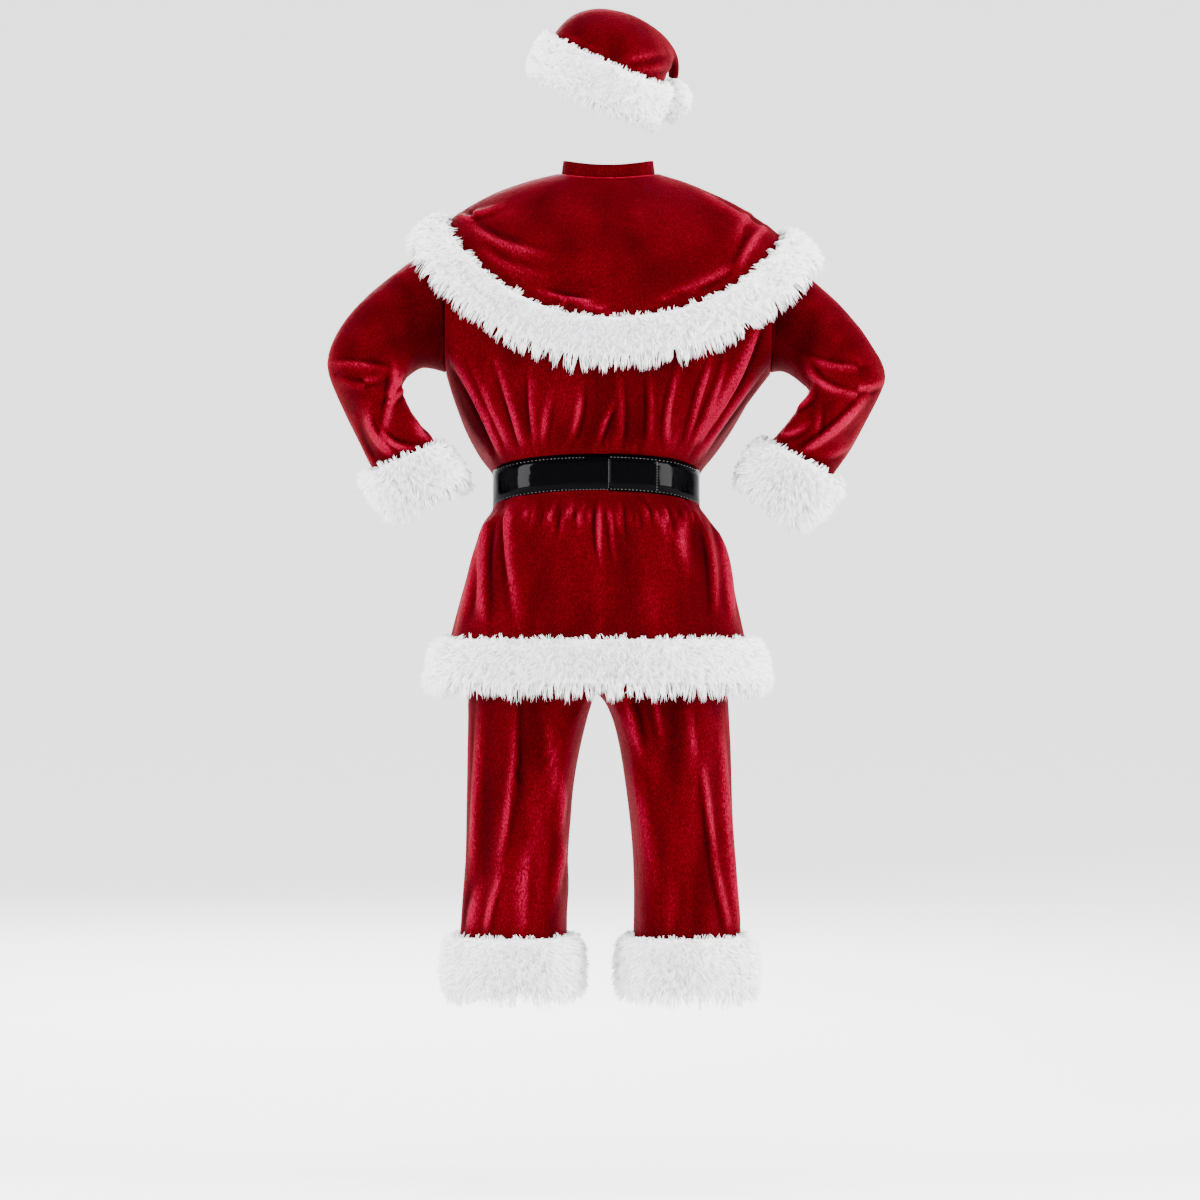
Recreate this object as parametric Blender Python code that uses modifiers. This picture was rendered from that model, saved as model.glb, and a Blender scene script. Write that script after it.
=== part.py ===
"""A velvet suit with white fur trim, worn with both hands on the hips: coat, shoulder cape, belt,
trousers and hat. Metres, +Z up, -Y to the wearer's front, +X to the wearer's left. The origin is
the middle of the neck opening, where the wearer's shoulders carry the coat."""

import math
from collections import namedtuple

import bmesh
import bpy
from mathutils import Matrix, Vector

# Cloth and seams
VELVET = 0.002
COLLAR_CLOTH = 0.003
SEAM_GAP = 0.0006
ROUND_COLUMNS = 16

# Belt
BELT_WIDTH = 0.057
BELT_THICK = 0.0024
BELT_CLEAR = 0.0012
BELT_ROW = -0.488
BELT_START_DEG = -35.0
BELT_END_DEG = 353.0
BELT_STEP_DEG = 8.0
BELT_LIFT_FROM_DEG = 296.0
BELT_LIFT_TO_DEG = 318.0

# Buckle on the front of the belt
BUCKLE_SIZE = (0.080, 0.070)
BUCKLE_BAR = 0.012
BUCKLE_THICK = 0.004
PRONG_RADIUS = 0.0028

# Fur: how far the pile stands off the cloth
HEM_PILE = 0.027
CAPE_PILE = 0.026
CUFF_PILE = 0.024
LEG_PILE = 0.026
HAT_PILE = 0.021
FUR_CLEAR = 0.0005
SLEEVE_FUR_CLEAR = 0.0009
HEM_FUR_CLEAR = 0.0012
CAPE_FUR_CLEAR = 0.0026

# Neck opening, shoulders and armholes
NECK_HALF = 0.075
NECK_BACK = 0.055
NECK_FRONT = 0.078
NECK_DIP_BACK = 0.010
NECK_DIP_FRONT = 0.062
NECK_TOP = -0.004
YOKE_HALF = 0.252
YOKE_MIDDLE = 0.006
ARMHOLE_DEPTH = 0.078
SHOULDER_LEFT = -0.098
SHOULDER_RIGHT = -0.114
ARMPIT = -0.305
YOKE_ROWS = 7
YOKE_BACK = 0.150
YOKE_FRONT = 0.150
NECK_COLUMNS = 6
COLLAR_HEIGHT = 0.030
COLLAR_LEAN = 0.004

# Hat: its place on the head, its roll to the wearer's right and its nod to the back
HAT_CENTRE = Vector((0.0187, -0.01, 0.160))
HAT_ROLL_DEG = -24.0
HAT_NOD_DEG = -9.0
POMPOM_RADIUS = 0.034

# Coat sections from the armpit to the hem. tilt is how far a row rises towards the back.
Body = namedtuple("Body", "z half back front middle tilt")
BODY = [
    Body(-0.305, 0.252, 0.150, 0.150, 0.006, 0.00),
    Body(-0.336, 0.235, 0.148, 0.149, 0.014, 0.03),
    Body(-0.368, 0.217, 0.143, 0.147, 0.020, 0.09),
    Body(-0.400, 0.198, 0.135, 0.143, 0.024, 0.17),
    Body(-0.430, 0.177, 0.124, 0.136, 0.025, 0.22),
    Body(-0.4585, 0.158, 0.112, 0.128, 0.0245, 0.24),
    Body(-0.488, 0.158, 0.112, 0.128, 0.0245, 0.24),
    Body(-0.5175, 0.158, 0.112, 0.128, 0.0245, 0.24),
    Body(-0.540, 0.178, 0.134, 0.138, 0.022, 0.21),
    Body(-0.574, 0.191, 0.151, 0.147, 0.021, 0.15),
    Body(-0.620, 0.205, 0.164, 0.156, 0.021, 0.08),
    Body(-0.672, 0.219, 0.173, 0.163, 0.022, 0.03),
    Body(-0.718, 0.230, 0.180, 0.168, 0.0235, 0.00),
    Body(-0.776, 0.241, 0.187, 0.175, 0.0235, 0.00),
]

# Folds of the coat. near_deg is the place at the belt or hem, far_deg where the fold dies out.
# Degrees run from the back middle, + to the wearer's left. depth is + for a ridge.
Fold = namedtuple("Fold", "near_deg far_deg width_deg depth near_z far_z")
GATHERS_ABOVE_BELT = [
    Fold(-78, -84, 6.0, 0.006, -0.44, -0.29),
    Fold(-62, -74, 5.5, 0.007, -0.44, -0.26),
    Fold(-47, -60, 5.0, 0.006, -0.44, -0.27),
    Fold(-33, -44, 5.0, 0.005, -0.44, -0.28),
    Fold(-19, -24, 5.0, 0.004, -0.44, -0.31),
    Fold(-4, -12, 5.0, 0.005, -0.44, -0.27),
    Fold(12, 8, 5.0, 0.004, -0.44, -0.32),
    Fold(27, 24, 5.0, 0.005, -0.44, -0.29),
    Fold(42, 46, 5.0, 0.006, -0.44, -0.27),
    Fold(56, 64, 5.0, 0.007, -0.44, -0.25),
    Fold(71, 80, 6.0, 0.007, -0.44, -0.26),
    Fold(97, 95, 6.0, 0.005, -0.44, -0.30),
    Fold(113, 109, 5.5, 0.005, -0.44, -0.28),
    Fold(128, 124, 5.5, 0.005, -0.44, -0.30),
    Fold(144, 141, 5.5, 0.004, -0.44, -0.31),
    Fold(161, 160, 5.5, 0.004, -0.44, -0.32),
    Fold(-96, -94, 6.0, 0.005, -0.44, -0.30),
    Fold(-111, -107, 5.5, 0.005, -0.44, -0.28),
    Fold(-127, -123, 5.5, 0.005, -0.44, -0.30),
    Fold(-143, -141, 5.5, 0.004, -0.44, -0.31),
    Fold(-160, -160, 5.5, 0.004, -0.44, -0.32),
]
GATHERS_BELOW_BELT = [
    Fold(-80, -82, 6.0, 0.006, -0.545, -0.70),
    Fold(-58, -64, 5.5, 0.006, -0.545, -0.72),
    Fold(-38, -40, 5.0, 0.004, -0.545, -0.64),
    Fold(-22, -24, 5.0, 0.004, -0.545, -0.62),
    Fold(-6, -4, 5.0, 0.004, -0.545, -0.66),
    Fold(9, 9, 5.0, 0.004, -0.545, -0.62),
    Fold(26, 28, 5.0, 0.004, -0.545, -0.62),
    Fold(50, 54, 5.5, 0.006, -0.545, -0.75),
    Fold(70, 74, 6.0, 0.007, -0.545, -0.78),
    Fold(98, 98, 6.0, 0.005, -0.545, -0.68),
    Fold(118, 120, 6.0, 0.004, -0.545, -0.66),
    Fold(140, 141, 6.0, 0.004, -0.545, -0.65),
    Fold(162, 162, 6.0, 0.004, -0.545, -0.64),
    Fold(-100, -100, 6.0, 0.005, -0.545, -0.68),
    Fold(-120, -121, 6.0, 0.004, -0.545, -0.66),
    Fold(-141, -142, 6.0, 0.004, -0.545, -0.65),
    Fold(-162, -162, 6.0, 0.004, -0.545, -0.64),
]
HEM_FLUTES = [
    Fold(-68, -62, 12.0, 0.010, -0.80, -0.56),
    Fold(-30, -28, 13.0, -0.005, -0.80, -0.60),
    Fold(34, 32, 13.0, -0.006, -0.80, -0.60),
    Fold(62, 60, 9.0, 0.011, -0.80, -0.56),
    Fold(82, 80, 7.0, -0.008, -0.80, -0.58),
    Fold(105, 103, 9.0, 0.008, -0.80, -0.60),
    Fold(135, 134, 11.0, 0.006, -0.80, -0.62),
    Fold(-105, -103, 10.0, 0.008, -0.80, -0.60),
    Fold(-136, -135, 11.0, 0.006, -0.80, -0.62),
]

# Sleeve sections from the armhole to the wrist: the two edges of the sleeve as seen from behind,
# how far its middle lies to the back, and its half depth from front to back.
Ring = namedtuple("Ring", "outer_x outer_z inner_x inner_z y depth")
SLEEVE_LEFT = [
    Ring(0.300, -0.118, 0.280, -0.300, 0.010, 0.075),
    Ring(0.337, -0.147, 0.2986, -0.303, 0.028, 0.071),
    Ring(0.387, -0.190, 0.3130, -0.311, 0.052, 0.068),
    Ring(0.423, -0.236, 0.3200, -0.3234, 0.080, 0.065),
    Ring(0.443, -0.286, 0.3190, -0.3328, 0.100, 0.061),
    Ring(0.433, -0.323, 0.3140, -0.350, 0.104, 0.056),
    Ring(0.416, -0.360, 0.3060, -0.369, 0.096, 0.053),
    Ring(0.402, -0.390, 0.2950, -0.386, 0.084, 0.051),
    Ring(0.3888, -0.4167, 0.2760, -0.4010, 0.070, 0.052),
    Ring(0.3716, -0.4570, 0.2706, -0.4200, 0.055, 0.050),
    Ring(0.3300, -0.5115, 0.2390, -0.4695, 0.036, 0.044),
]
SLEEVE_RIGHT = [
    Ring(-0.280, -0.134, -0.262, -0.303, 0.010, 0.075),
    Ring(-0.313, -0.158, -0.275, -0.3126, 0.028, 0.071),
    Ring(-0.352, -0.194, -0.290, -0.323, 0.052, 0.068),
    Ring(-0.392, -0.2425, -0.300, -0.3305, 0.080, 0.065),
    Ring(-0.426, -0.3063, -0.299, -0.338, 0.100, 0.061),
    Ring(-0.414, -0.338, -0.290, -0.352, 0.104, 0.056),
    Ring(-0.398, -0.370, -0.278, -0.369, 0.096, 0.053),
    Ring(-0.382, -0.398, -0.268, -0.386, 0.084, 0.051),
    Ring(-0.366, -0.425, -0.253, -0.401, 0.070, 0.052),
    Ring(-0.342, -0.468, -0.238, -0.414, 0.055, 0.050),
    Ring(-0.288, -0.525, -0.2075, -0.466, 0.036, 0.044),
]
CUFF_FIRST_RING = 9

# Creases of a sleeve: ring number, place round the ring (0 outer edge, 90 back, 180 inner edge).
Crease = namedtuple("Crease", "ring ring_width turn_deg turn_width depth")
SLEEVE_CREASES = [
    Crease(2.0, 0.9, 150, 55, -0.007),
    Crease(3.4, 0.7, 140, 50, 0.006),
    Crease(4.6, 0.6, 150, 60, -0.008),
    Crease(5.6, 0.6, 110, 70, 0.007),
    Crease(6.6, 0.6, 150, 60, -0.007),
    Crease(7.6, 0.6, 120, 70, 0.006),
    Crease(8.6, 0.5, 170, 60, -0.005),
    Crease(4.4, 0.8, 235, 45, 0.006),
    Crease(5.8, 0.7, 245, 45, -0.006),
    Crease(7.2, 0.7, 240, 50, 0.006),
]

# Trouser legs: outer edge, the middle where front and back meet, inner edge, and the depths.
Leg = namedtuple("Leg", "z outer mid inner front back tilt")
SEAT_SEAM_X = 0.0240
SEAT = [
    Leg(-0.5068, 0.1530, 0.0, 0.0, 0.1230, 0.1070, 0.24),
    Leg(-0.535, 0.1560, 0.0, 0.0, 0.1250, 0.1110, 0.22),
    Leg(-0.570, 0.1750, 0.0, 0.0, 0.1300, 0.1320, 0.15),
    Leg(-0.620, 0.1890, 0.0, 0.0, 0.1350, 0.1450, 0.07),
    Leg(-0.680, 0.1990, 0.0, 0.0, 0.1350, 0.1480, 0.02),
    Leg(-0.740, 0.2040, 0.0, 0.0, 0.1270, 0.1370, 0.00),
    Leg(-0.790, 0.2055, 0.0, 0.0, 0.1160, 0.1200, 0.00),
]
LEG_LEFT = [
    Leg(-0.815, 0.2240, 0.060, 0.0310, 0.1090, 0.1100, 0.0),
    Leg(-0.874, 0.2255, 0.115, 0.0450, 0.1010, 0.1020, 0.0),
    Leg(-0.936, 0.2255, 0.136, 0.0560, 0.0950, 0.0970, 0.0),
    Leg(-0.998, 0.2270, 0.1446, 0.0620, 0.0910, 0.0930, 0.0),
    Leg(-1.060, 0.2275, 0.1460, 0.0653, 0.0890, 0.0910, 0.0),
    Leg(-1.123, 0.2320, 0.1500, 0.0670, 0.0890, 0.0900, 0.0),
    Leg(-1.180, 0.2360, 0.1510, 0.0655, 0.0900, 0.0910, 0.0),
    Leg(-1.252, 0.2380, 0.1510, 0.0640, 0.0910, 0.0920, 0.0),
]
LEG_RIGHT = [
    Leg(-0.815, -0.1820, -0.025, 0.0078, 0.1090, 0.1100, 0.0),
    Leg(-0.874, -0.1850, -0.078, -0.0078, 0.1010, 0.1020, 0.0),
    Leg(-0.936, -0.1866, -0.100, -0.0170, 0.0950, 0.0970, 0.0),
    Leg(-0.998, -0.1880, -0.1066, -0.0250, 0.0910, 0.0930, 0.0),
    Leg(-1.060, -0.1930, -0.1110, -0.0295, 0.0890, 0.0910, 0.0),
    Leg(-1.123, -0.1960, -0.1128, -0.0300, 0.0890, 0.0900, 0.0),
    Leg(-1.180, -0.1990, -0.1135, -0.0285, 0.0900, 0.0910, 0.0),
    Leg(-1.252, -0.2010, -0.1140, -0.0270, 0.0910, 0.0920, 0.0),
]
LEG_ARC_COLUMNS = 14
LEG_INNER_COLUMNS = 6

# Folds of a leg: place round it (0 front, 90 outer side, 180 back, 270 inner side).
LEG_FOLDS = [
    Fold(206, 196, 13.0, 0.006, -0.95, -0.70),
    Fold(172, 176, 12.0, 0.006, -1.20, -0.84),
    Fold(138, 142, 12.0, -0.005, -1.20, -0.82),
    Fold(112, 116, 11.0, 0.006, -1.22, -0.80),
    Fold(238, 232, 14.0, -0.006, -1.20, -0.90),
    Fold(62, 64, 13.0, 0.005, -1.20, -0.86),
    Fold(24, 26, 13.0, -0.004, -1.20, -0.86),
]

# Shoulder cape: columns from the front opening round the back, rows from the neck to the hem.
CAPE_NECK = (0.0800, 0.0600, 0.0830)
CAPE_HEM_LEFT = Vector((0.296, 0.0, -0.098))
CAPE_HEM_RIGHT = Vector((-0.304, 0.0, -0.124))
CAPE_HEM_BACK = Vector((-0.006, 0.180, -0.284))
CAPE_HEM_FRONT = Vector((0.006, -0.180, -0.278))
CAPE_COLUMNS = 36
CAPE_ROWS = 6
CAPE_BAND = 0.052
CAPE_WAVES = [
    Fold(-62, -62, 11.0, 0.007, 1.0, 0.35),
    Fold(-38, -36, 10.0, -0.005, 1.0, 0.45),
    Fold(-8, -6, 13.0, 0.006, 1.0, 0.55),
    Fold(22, 20, 11.0, -0.004, 1.0, 0.50),
    Fold(52, 50, 11.0, 0.007, 1.0, 0.35),
    Fold(120, 120, 14.0, 0.006, 1.0, 0.40),
    Fold(-120, -120, 14.0, 0.006, 1.0, 0.40),
    Fold(152, 152, 12.0, -0.004, 1.0, 0.50),
    Fold(-152, -152, 12.0, -0.004, 1.0, 0.50),
]

# Hat crown: each ring's inner and outer edge in the upright plane the tail folds over in (r out
# from the hat's own axis, z along it), and its half width. The last rings are the tail.
HAT_TAIL_DEG = 42.0
HatRing = namedtuple("HatRing", "inner_r inner_z outer_r outer_z depth")
HAT = [
    HatRing(-0.0930, -0.028, 0.0930, -0.028, 0.0960),
    HatRing(-0.0930, 0.028, 0.0940, 0.026, 0.0960),
    HatRing(-0.0880, 0.055, 0.0970, 0.040, 0.0920),
    HatRing(-0.0700, 0.081, 0.1000, 0.050, 0.0840),
    HatRing(-0.0400, 0.099, 0.1030, 0.055, 0.0720),
    HatRing(-0.0020, 0.107, 0.1060, 0.058, 0.0560),
    HatRing(0.0380, 0.106, 0.1090, 0.060, 0.0400),
    HatRing(0.0780, 0.097, 0.1130, 0.059, 0.0270),
    HatRing(0.1120, 0.082, 0.1190, 0.054, 0.0190),
    HatRing(0.1350, 0.062, 0.1250, 0.046, 0.0130),
    HatRing(0.1440, 0.042, 0.1310, 0.036, 0.0090),
]
HAT_COLUMNS = 20

# Fur cross-section: along is 0 at the band's top and 1 at the cloth's edge, out is the pile.
Pile = namedtuple("Pile", "along out")
FUR_SECTION = [
    Pile(0.04, 0.0),
    Pile(-0.10, 0.42),
    Pile(0.06, 0.84),
    Pile(0.38, 1.0),
    Pile(0.78, 0.98),
    Pile(1.12, 0.74),
    Pile(1.22, 0.28),
    Pile(1.06, 0.0),
]

# Colours (linear), roughness and metallic value of each material
COLOURS = {
    "velvet": ((0.245, 0.004, 0.012), 0.75, 0.0),
    "fur": ((0.88, 0.88, 0.90), 0.95, 0.0),
    "patent": ((0.008, 0.008, 0.009), 0.12, 0.0),
    "metal": ((0.80, 0.62, 0.28), 0.25, 1.0),
}


def clear_scene():
    for obj in list(bpy.data.objects):
        bpy.data.objects.remove(obj, do_unlink=True)


def make_material(name):
    colour, roughness, metallic = COLOURS[name]
    material = bpy.data.materials.new(name)
    material.use_nodes = True
    shader = material.node_tree.nodes["Principled BSDF"]
    shader.inputs["Base Color"].default_value = (*colour, 1.0)
    shader.inputs["Roughness"].default_value = roughness
    shader.inputs["Metallic"].default_value = metallic
    return material


def ease(t):
    """0 to 1, flat at both ends."""
    t = min(1.0, max(0.0, t))
    return t * t * (3.0 - 2.0 * t)


def section_at(rows, z):
    """The row of a table at height z, straight between the rows above and below it."""
    if z >= rows[0].z:
        return rows[0]
    for upper, lower in zip(rows, rows[1:]):
        if z >= lower.z:
            t = (z - upper.z) / (lower.z - upper.z)
            return type(upper)(*(a + (b - a) * t for a, b in zip(upper, lower)))
    return rows[-1]


def apart_deg(a, b):
    """The turn between two directions, from -180 to 180 degrees."""
    return (a - b + 180.0) % 360.0 - 180.0


def fold_height(folds, turn_deg, z):
    """How far the cloth stands out at this turn and height, the folds added up."""
    out = 0.0
    for fold in folds:
        t = (z - fold.near_z) / (fold.far_z - fold.near_z)
        if t >= 1.0:
            continue
        place = fold.near_deg + (fold.far_deg - fold.near_deg) * max(0.0, t)
        across = apart_deg(turn_deg, place) / fold.width_deg
        out += fold.depth * (1.0 - ease(t)) * math.exp(-across * across)
    return out


def new_object(name, bm, material):
    mesh = bpy.data.meshes.new(name)
    bm.to_mesh(mesh)
    bm.free()
    mesh.materials.append(MATERIALS[material])
    mesh.shade_smooth()
    obj = bpy.data.objects.new(name, mesh)
    SUIT.objects.link(obj)
    return obj


def loft(bm, rows, closed_columns=False, closed_rows=False):
    """Quads between neighbouring rows of points. Returns the rows of vertices."""
    grid = [[bm.verts.new(point) for point in row] for row in rows]
    row_pairs = list(zip(grid, grid[1:]))
    if closed_rows:
        row_pairs.append((grid[-1], grid[0]))
    for upper, lower in row_pairs:
        columns = range(len(upper) if closed_columns else len(upper) - 1)
        for i in columns:
            j = (i + 1) % len(upper)
            bm.faces.new((upper[i], lower[i], lower[j], upper[j]))
    return grid


def face_outwards(bm):
    """Turns all faces over where together they look towards the middle of the shape."""
    middle = sum((vert.co for vert in bm.verts), Vector()) / len(bm.verts)
    outward = 0.0
    for face in bm.faces:
        face.normal_update()
        outward += face.calc_area() * face.normal.dot(face.calc_center_median() - middle)
    if outward < 0.0:
        bmesh.ops.reverse_faces(bm, faces=bm.faces)


def cloth(name, rows, closed=False, material="velvet", thick=VELVET):
    """Rows of points on a cloth's outer face, made a wall by Solidify, which grows inwards."""
    bm = bmesh.new()
    loft(bm, rows, closed_columns=closed)
    face_outwards(bm)
    obj = new_object(name, bm, material)
    wall = obj.modifiers.new("wall", "SOLIDIFY")
    wall.thickness = thick
    wall.offset = -1.0
    return obj


def fur_band(name, stations, pile, closed, clear=FUR_CLEAR):
    """A closed pile of fur. A station is the cloth at the band's top and at its free edge, and
    the direction away from the cloth."""
    rings = []
    for top, edge, outward in stations:
        ring = []
        for point in FUR_SECTION:
            on_cloth = top + (edge - top) * point.along
            ring.append(on_cloth + outward * (clear + pile * point.out))
        rings.append(ring)
    bm = bmesh.new()
    grid = loft(bm, rings, closed_columns=True, closed_rows=closed)
    if not closed:
        bm.faces.new(grid[0])
        bm.faces.new(list(reversed(grid[-1])))
    bmesh.ops.recalc_face_normals(bm, faces=bm.faces)
    return new_object(name, bm, "fur")


# Coat

def neck_point(x, front):
    """The coat's neck edge and shoulder seam: its depth and height at this x."""
    from_neck = abs(x) - NECK_HALF
    if from_neck < 0.0:
        round_neck = math.sqrt(1.0 - (x / NECK_HALF) ** 2)
        depth = (NECK_FRONT if front else NECK_BACK) * round_neck
        dip = (NECK_DIP_FRONT if front else NECK_DIP_BACK) * round_neck**2
        return depth, NECK_TOP - dip
    tip = SHOULDER_LEFT if x > 0.0 else SHOULDER_RIGHT
    run = YOKE_HALF - NECK_HALF
    share = min(1.0, from_neck / run)
    return 0.0, NECK_TOP + (tip - NECK_TOP) * share**1.15


def yoke_point(turn_deg, row):
    """The coat above the armpits. Row 0 is the shoulder seam and neck, YOKE_ROWS the armpit."""
    turn = math.radians(turn_deg)
    front = abs(turn_deg) > 90.0
    around = math.pi * row / YOKE_ROWS
    down = (1.0 - math.cos(around)) / 2.0
    at_side = math.sin(turn) ** 2
    edge = ARMHOLE_DEPTH * math.sin(around) * at_side
    full = (YOKE_FRONT if front else YOKE_BACK) - edge
    x = YOKE_MIDDLE + YOKE_HALF * math.sin(turn)
    neck_y, neck_z = neck_point(x - YOKE_MIDDLE, front)
    out = down**0.45
    swell = abs(math.cos(turn)) ** 0.85
    y = edge + full * out * swell + neck_y * (1.0 - out)
    z = neck_z + (ARMPIT - neck_z) * down
    fold = fold_height(GATHERS_ABOVE_BELT, turn_deg, z) * swell
    return Vector((x, (-1.0 if front else 1.0) * (y + fold), z))


def body_point(turn_deg, z_row, extra=0.0, folded=True):
    """The coat from the armpits to the hem, extra metres outside its outer face."""
    turn = math.radians(turn_deg)
    row = section_at(BODY, z_row)
    side, back = math.sin(turn), math.cos(turn)
    depth = row.back if back > 0.0 else row.front
    out = extra
    if folded:
        pressed = ease((abs(z_row - BELT_ROW) - BELT_WIDTH / 2.0) / 0.045)
        gathers = GATHERS_ABOVE_BELT if z_row > BELT_ROW else GATHERS_BELOW_BELT
        out += pressed * fold_height(gathers, turn_deg, z_row)
        out += fold_height(HEM_FLUTES, turn_deg, z_row)
    rounded = math.copysign(abs(back) ** 0.85, back)
    normal = Vector((side / row.half, back / depth)).normalized()
    x = row.middle + row.half * side + out * normal.x
    y = depth * rounded + out * normal.y
    return Vector((x, y, z_row + row.tilt * y))


def coat_point(turn_deg, row):
    """The coat by row number, whole or between rows: first the yoke's rows, then BODY's."""
    if row < YOKE_ROWS:
        return yoke_point(turn_deg, max(0.0, row))
    down = min(row - YOKE_ROWS, len(BODY) - 1.0)
    upper, lower = BODY[int(down)], BODY[min(int(down) + 1, len(BODY) - 1)]
    return body_point(turn_deg, upper.z + (lower.z - upper.z) * (down - int(down)))


def coat_normal(turn_deg, row):
    """Straight out of the coat. Panels that share a seam share it, so their walls stay apart."""
    across = coat_point(turn_deg + 0.6, row) - coat_point(turn_deg - 0.6, row)
    down = coat_point(turn_deg, row + 0.25) - coat_point(turn_deg, row - 0.25)
    normal = across.cross(down).normalized()
    if row == 0 and abs(coat_point(turn_deg, 0).x - YOKE_MIDDLE) >= NECK_HALF - 0.001:
        normal = Vector((normal.x, 0.0, abs(normal.z)))
    return normal.normalized()


def columns_between(first_deg, last_deg, count):
    return [first_deg + (last_deg - first_deg) * i / count for i in range(count + 1)]


def seam_shift_deg():
    """Half a seam gap, as a turn at the side of the coat."""
    return math.degrees(SEAM_GAP / 2.0 / YOKE_BACK)


def neck_columns(count):
    """Turns from the middle of the neck to its side, even along the neck's edge."""
    ends = [NECK_HALF * math.sin(math.radians(90.0 * i / count)) for i in range(count + 1)]
    return [math.degrees(math.asin(x / YOKE_HALF)) for x in ends]


def coat_columns():
    """The columns of the right front, the back and the left front, as turns in degrees."""
    shift = seam_shift_deg()
    neck = neck_columns(NECK_COLUMNS)
    half_back = neck + columns_between(neck[-1], 90.0 - shift, 13)[1:]
    back = [-turn for turn in reversed(half_back[1:])] + half_back
    half_front = [shift] + neck[1:] + columns_between(neck[-1], 90.0 - shift, 9)[1:]
    left = [180.0 - turn for turn in reversed(half_front)]
    right = [-turn for turn in reversed(left)]
    return right, back, left


def coat_panel(name, columns, front):
    """One panel as a wall: its outer face, the same face moved inwards, and the rims."""
    side = -1.0 if front else 1.0
    outer, inner = [], []
    for row in range(YOKE_ROWS + len(BODY)):
        points = [coat_point(turn, row) for turn in columns]
        if row == 0:
            for point in points:
                point.y += side * SEAM_GAP / 2.0
        normals = [coat_normal(turn, row) for turn in columns]
        outer.append(points)
        inner.append([point - normal * VELVET for point, normal in zip(points, normals)])
    bm = bmesh.new()
    faces = [loft(bm, outer), loft(bm, inner)]
    face, back = faces
    count = len(columns) - 1
    edges = [(0, i, 0, i + 1) for i in range(count)]
    edges += [(j, count, j + 1, count) for j in range(len(face) - 1)]
    edges += [(len(face) - 1, i + 1, len(face) - 1, i) for i in reversed(range(count))]
    edges += [(j + 1, 0, j, 0) for j in reversed(range(len(face) - 1))]
    for row_a, column_a, row_b, column_b in edges:
        bm.faces.new((
            face[row_a][column_a], face[row_b][column_b],
            back[row_b][column_b], back[row_a][column_a],
        ))
    bmesh.ops.recalc_face_normals(bm, faces=bm.faces)
    return new_object(name, bm, "velvet")


def build_coat():
    right, back, left = coat_columns()
    coat_panel("coat_front_right", right, True)
    coat_panel("coat_back", back, False)
    coat_panel("coat_front_left", left, True)


def build_collar():
    """A low band that stands on the neck edge, open at the front."""
    step = 90.0 / NECK_COLUMNS
    turns = [step * i for i in range(1 - 2 * NECK_COLUMNS, 2 * NECK_COLUMNS)]
    rows = []
    for share in (1.0, 0.5, 0.0):
        row = []
        for turn_deg in [-179.0, *turns, 179.0]:
            turn = math.radians(turn_deg)
            front = abs(turn_deg) > 90.0
            x = YOKE_MIDDLE + (NECK_HALF - COLLAR_LEAN * share) * math.sin(turn)
            reach = NECK_FRONT if front else NECK_BACK
            dip = NECK_DIP_FRONT if front else NECK_DIP_BACK
            y = (reach - COLLAR_LEAN * share) * math.cos(turn)
            z = NECK_TOP - dip * math.cos(turn) ** 2 + SEAM_GAP + COLLAR_HEIGHT * share
            row.append(Vector((x, y, z)))
        rows.append(row)
    cloth("collar", rows, thick=COLLAR_CLOTH)


def build_hem_fur():
    right, back, left = coat_columns()
    middle = 180.0 - seam_shift_deg() * 2.0
    turns = [-middle, *right[1:-1], *back, *left[1:-1], middle]
    stations = []
    for turn in turns:
        top = body_point(turn, BODY[-2].z)
        edge = body_point(turn, BODY[-1].z)
        outward = Vector((math.sin(math.radians(turn)), math.cos(math.radians(turn)), 0.0))
        stations.append((top, edge, outward))
    fur_band("hem_fur", stations, HEM_PILE, False, HEM_FUR_CLEAR)


# Sleeves and their fur cuffs

def ring_points(ring):
    """An oval through a ring's two edges. It starts at the outer edge and turns to the back."""
    outer = Vector((ring.outer_x, ring.y, ring.outer_z))
    inner = Vector((ring.inner_x, ring.y, ring.inner_z))
    middle, reach = (outer + inner) / 2.0, (outer - inner) / 2.0
    points = []
    for i in range(ROUND_COLUMNS):
        turn = 2.0 * math.pi * i / ROUND_COLUMNS
        across = Vector((0.0, ring.depth * math.sin(turn), 0.0))
        points.append(middle + reach * math.cos(turn) + across)
    return points


def armhole_ring(side):
    tip = SHOULDER_LEFT if side > 0.0 else SHOULDER_RIGHT
    x = YOKE_MIDDLE + side * (YOKE_HALF + 2.0 * SEAM_GAP)
    return Ring(x, tip, x, ARMPIT, 0.0, ARMHOLE_DEPTH)


def sleeve_rings(side):
    return [armhole_ring(side), *(SLEEVE_LEFT if side > 0.0 else SLEEVE_RIGHT)]


def creased(points, number):
    """Ring points pushed in or out by the creases that cross this ring."""
    middle = sum(points, Vector()) / len(points)
    moved = []
    for i, point in enumerate(points):
        turn_deg = 360.0 * i / len(points)
        out = 0.0
        for crease in SLEEVE_CREASES:
            along = (number - crease.ring) / crease.ring_width
            across = apart_deg(turn_deg, crease.turn_deg) / crease.turn_width
            out += crease.depth * math.exp(-along * along - across * across)
        moved.append(point + (point - middle).normalized() * out)
    return moved


def build_sleeve(name, side):
    rings = sleeve_rings(side)
    rows = []
    for number, ring in enumerate(rings):
        points = ring_points(ring)
        if 0 < number < CUFF_FIRST_RING:
            points = creased(points, number)
        rows.append(points if side > 0.0 else list(reversed(points)))
    cloth(name, rows, closed=True)
    return rows


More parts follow.
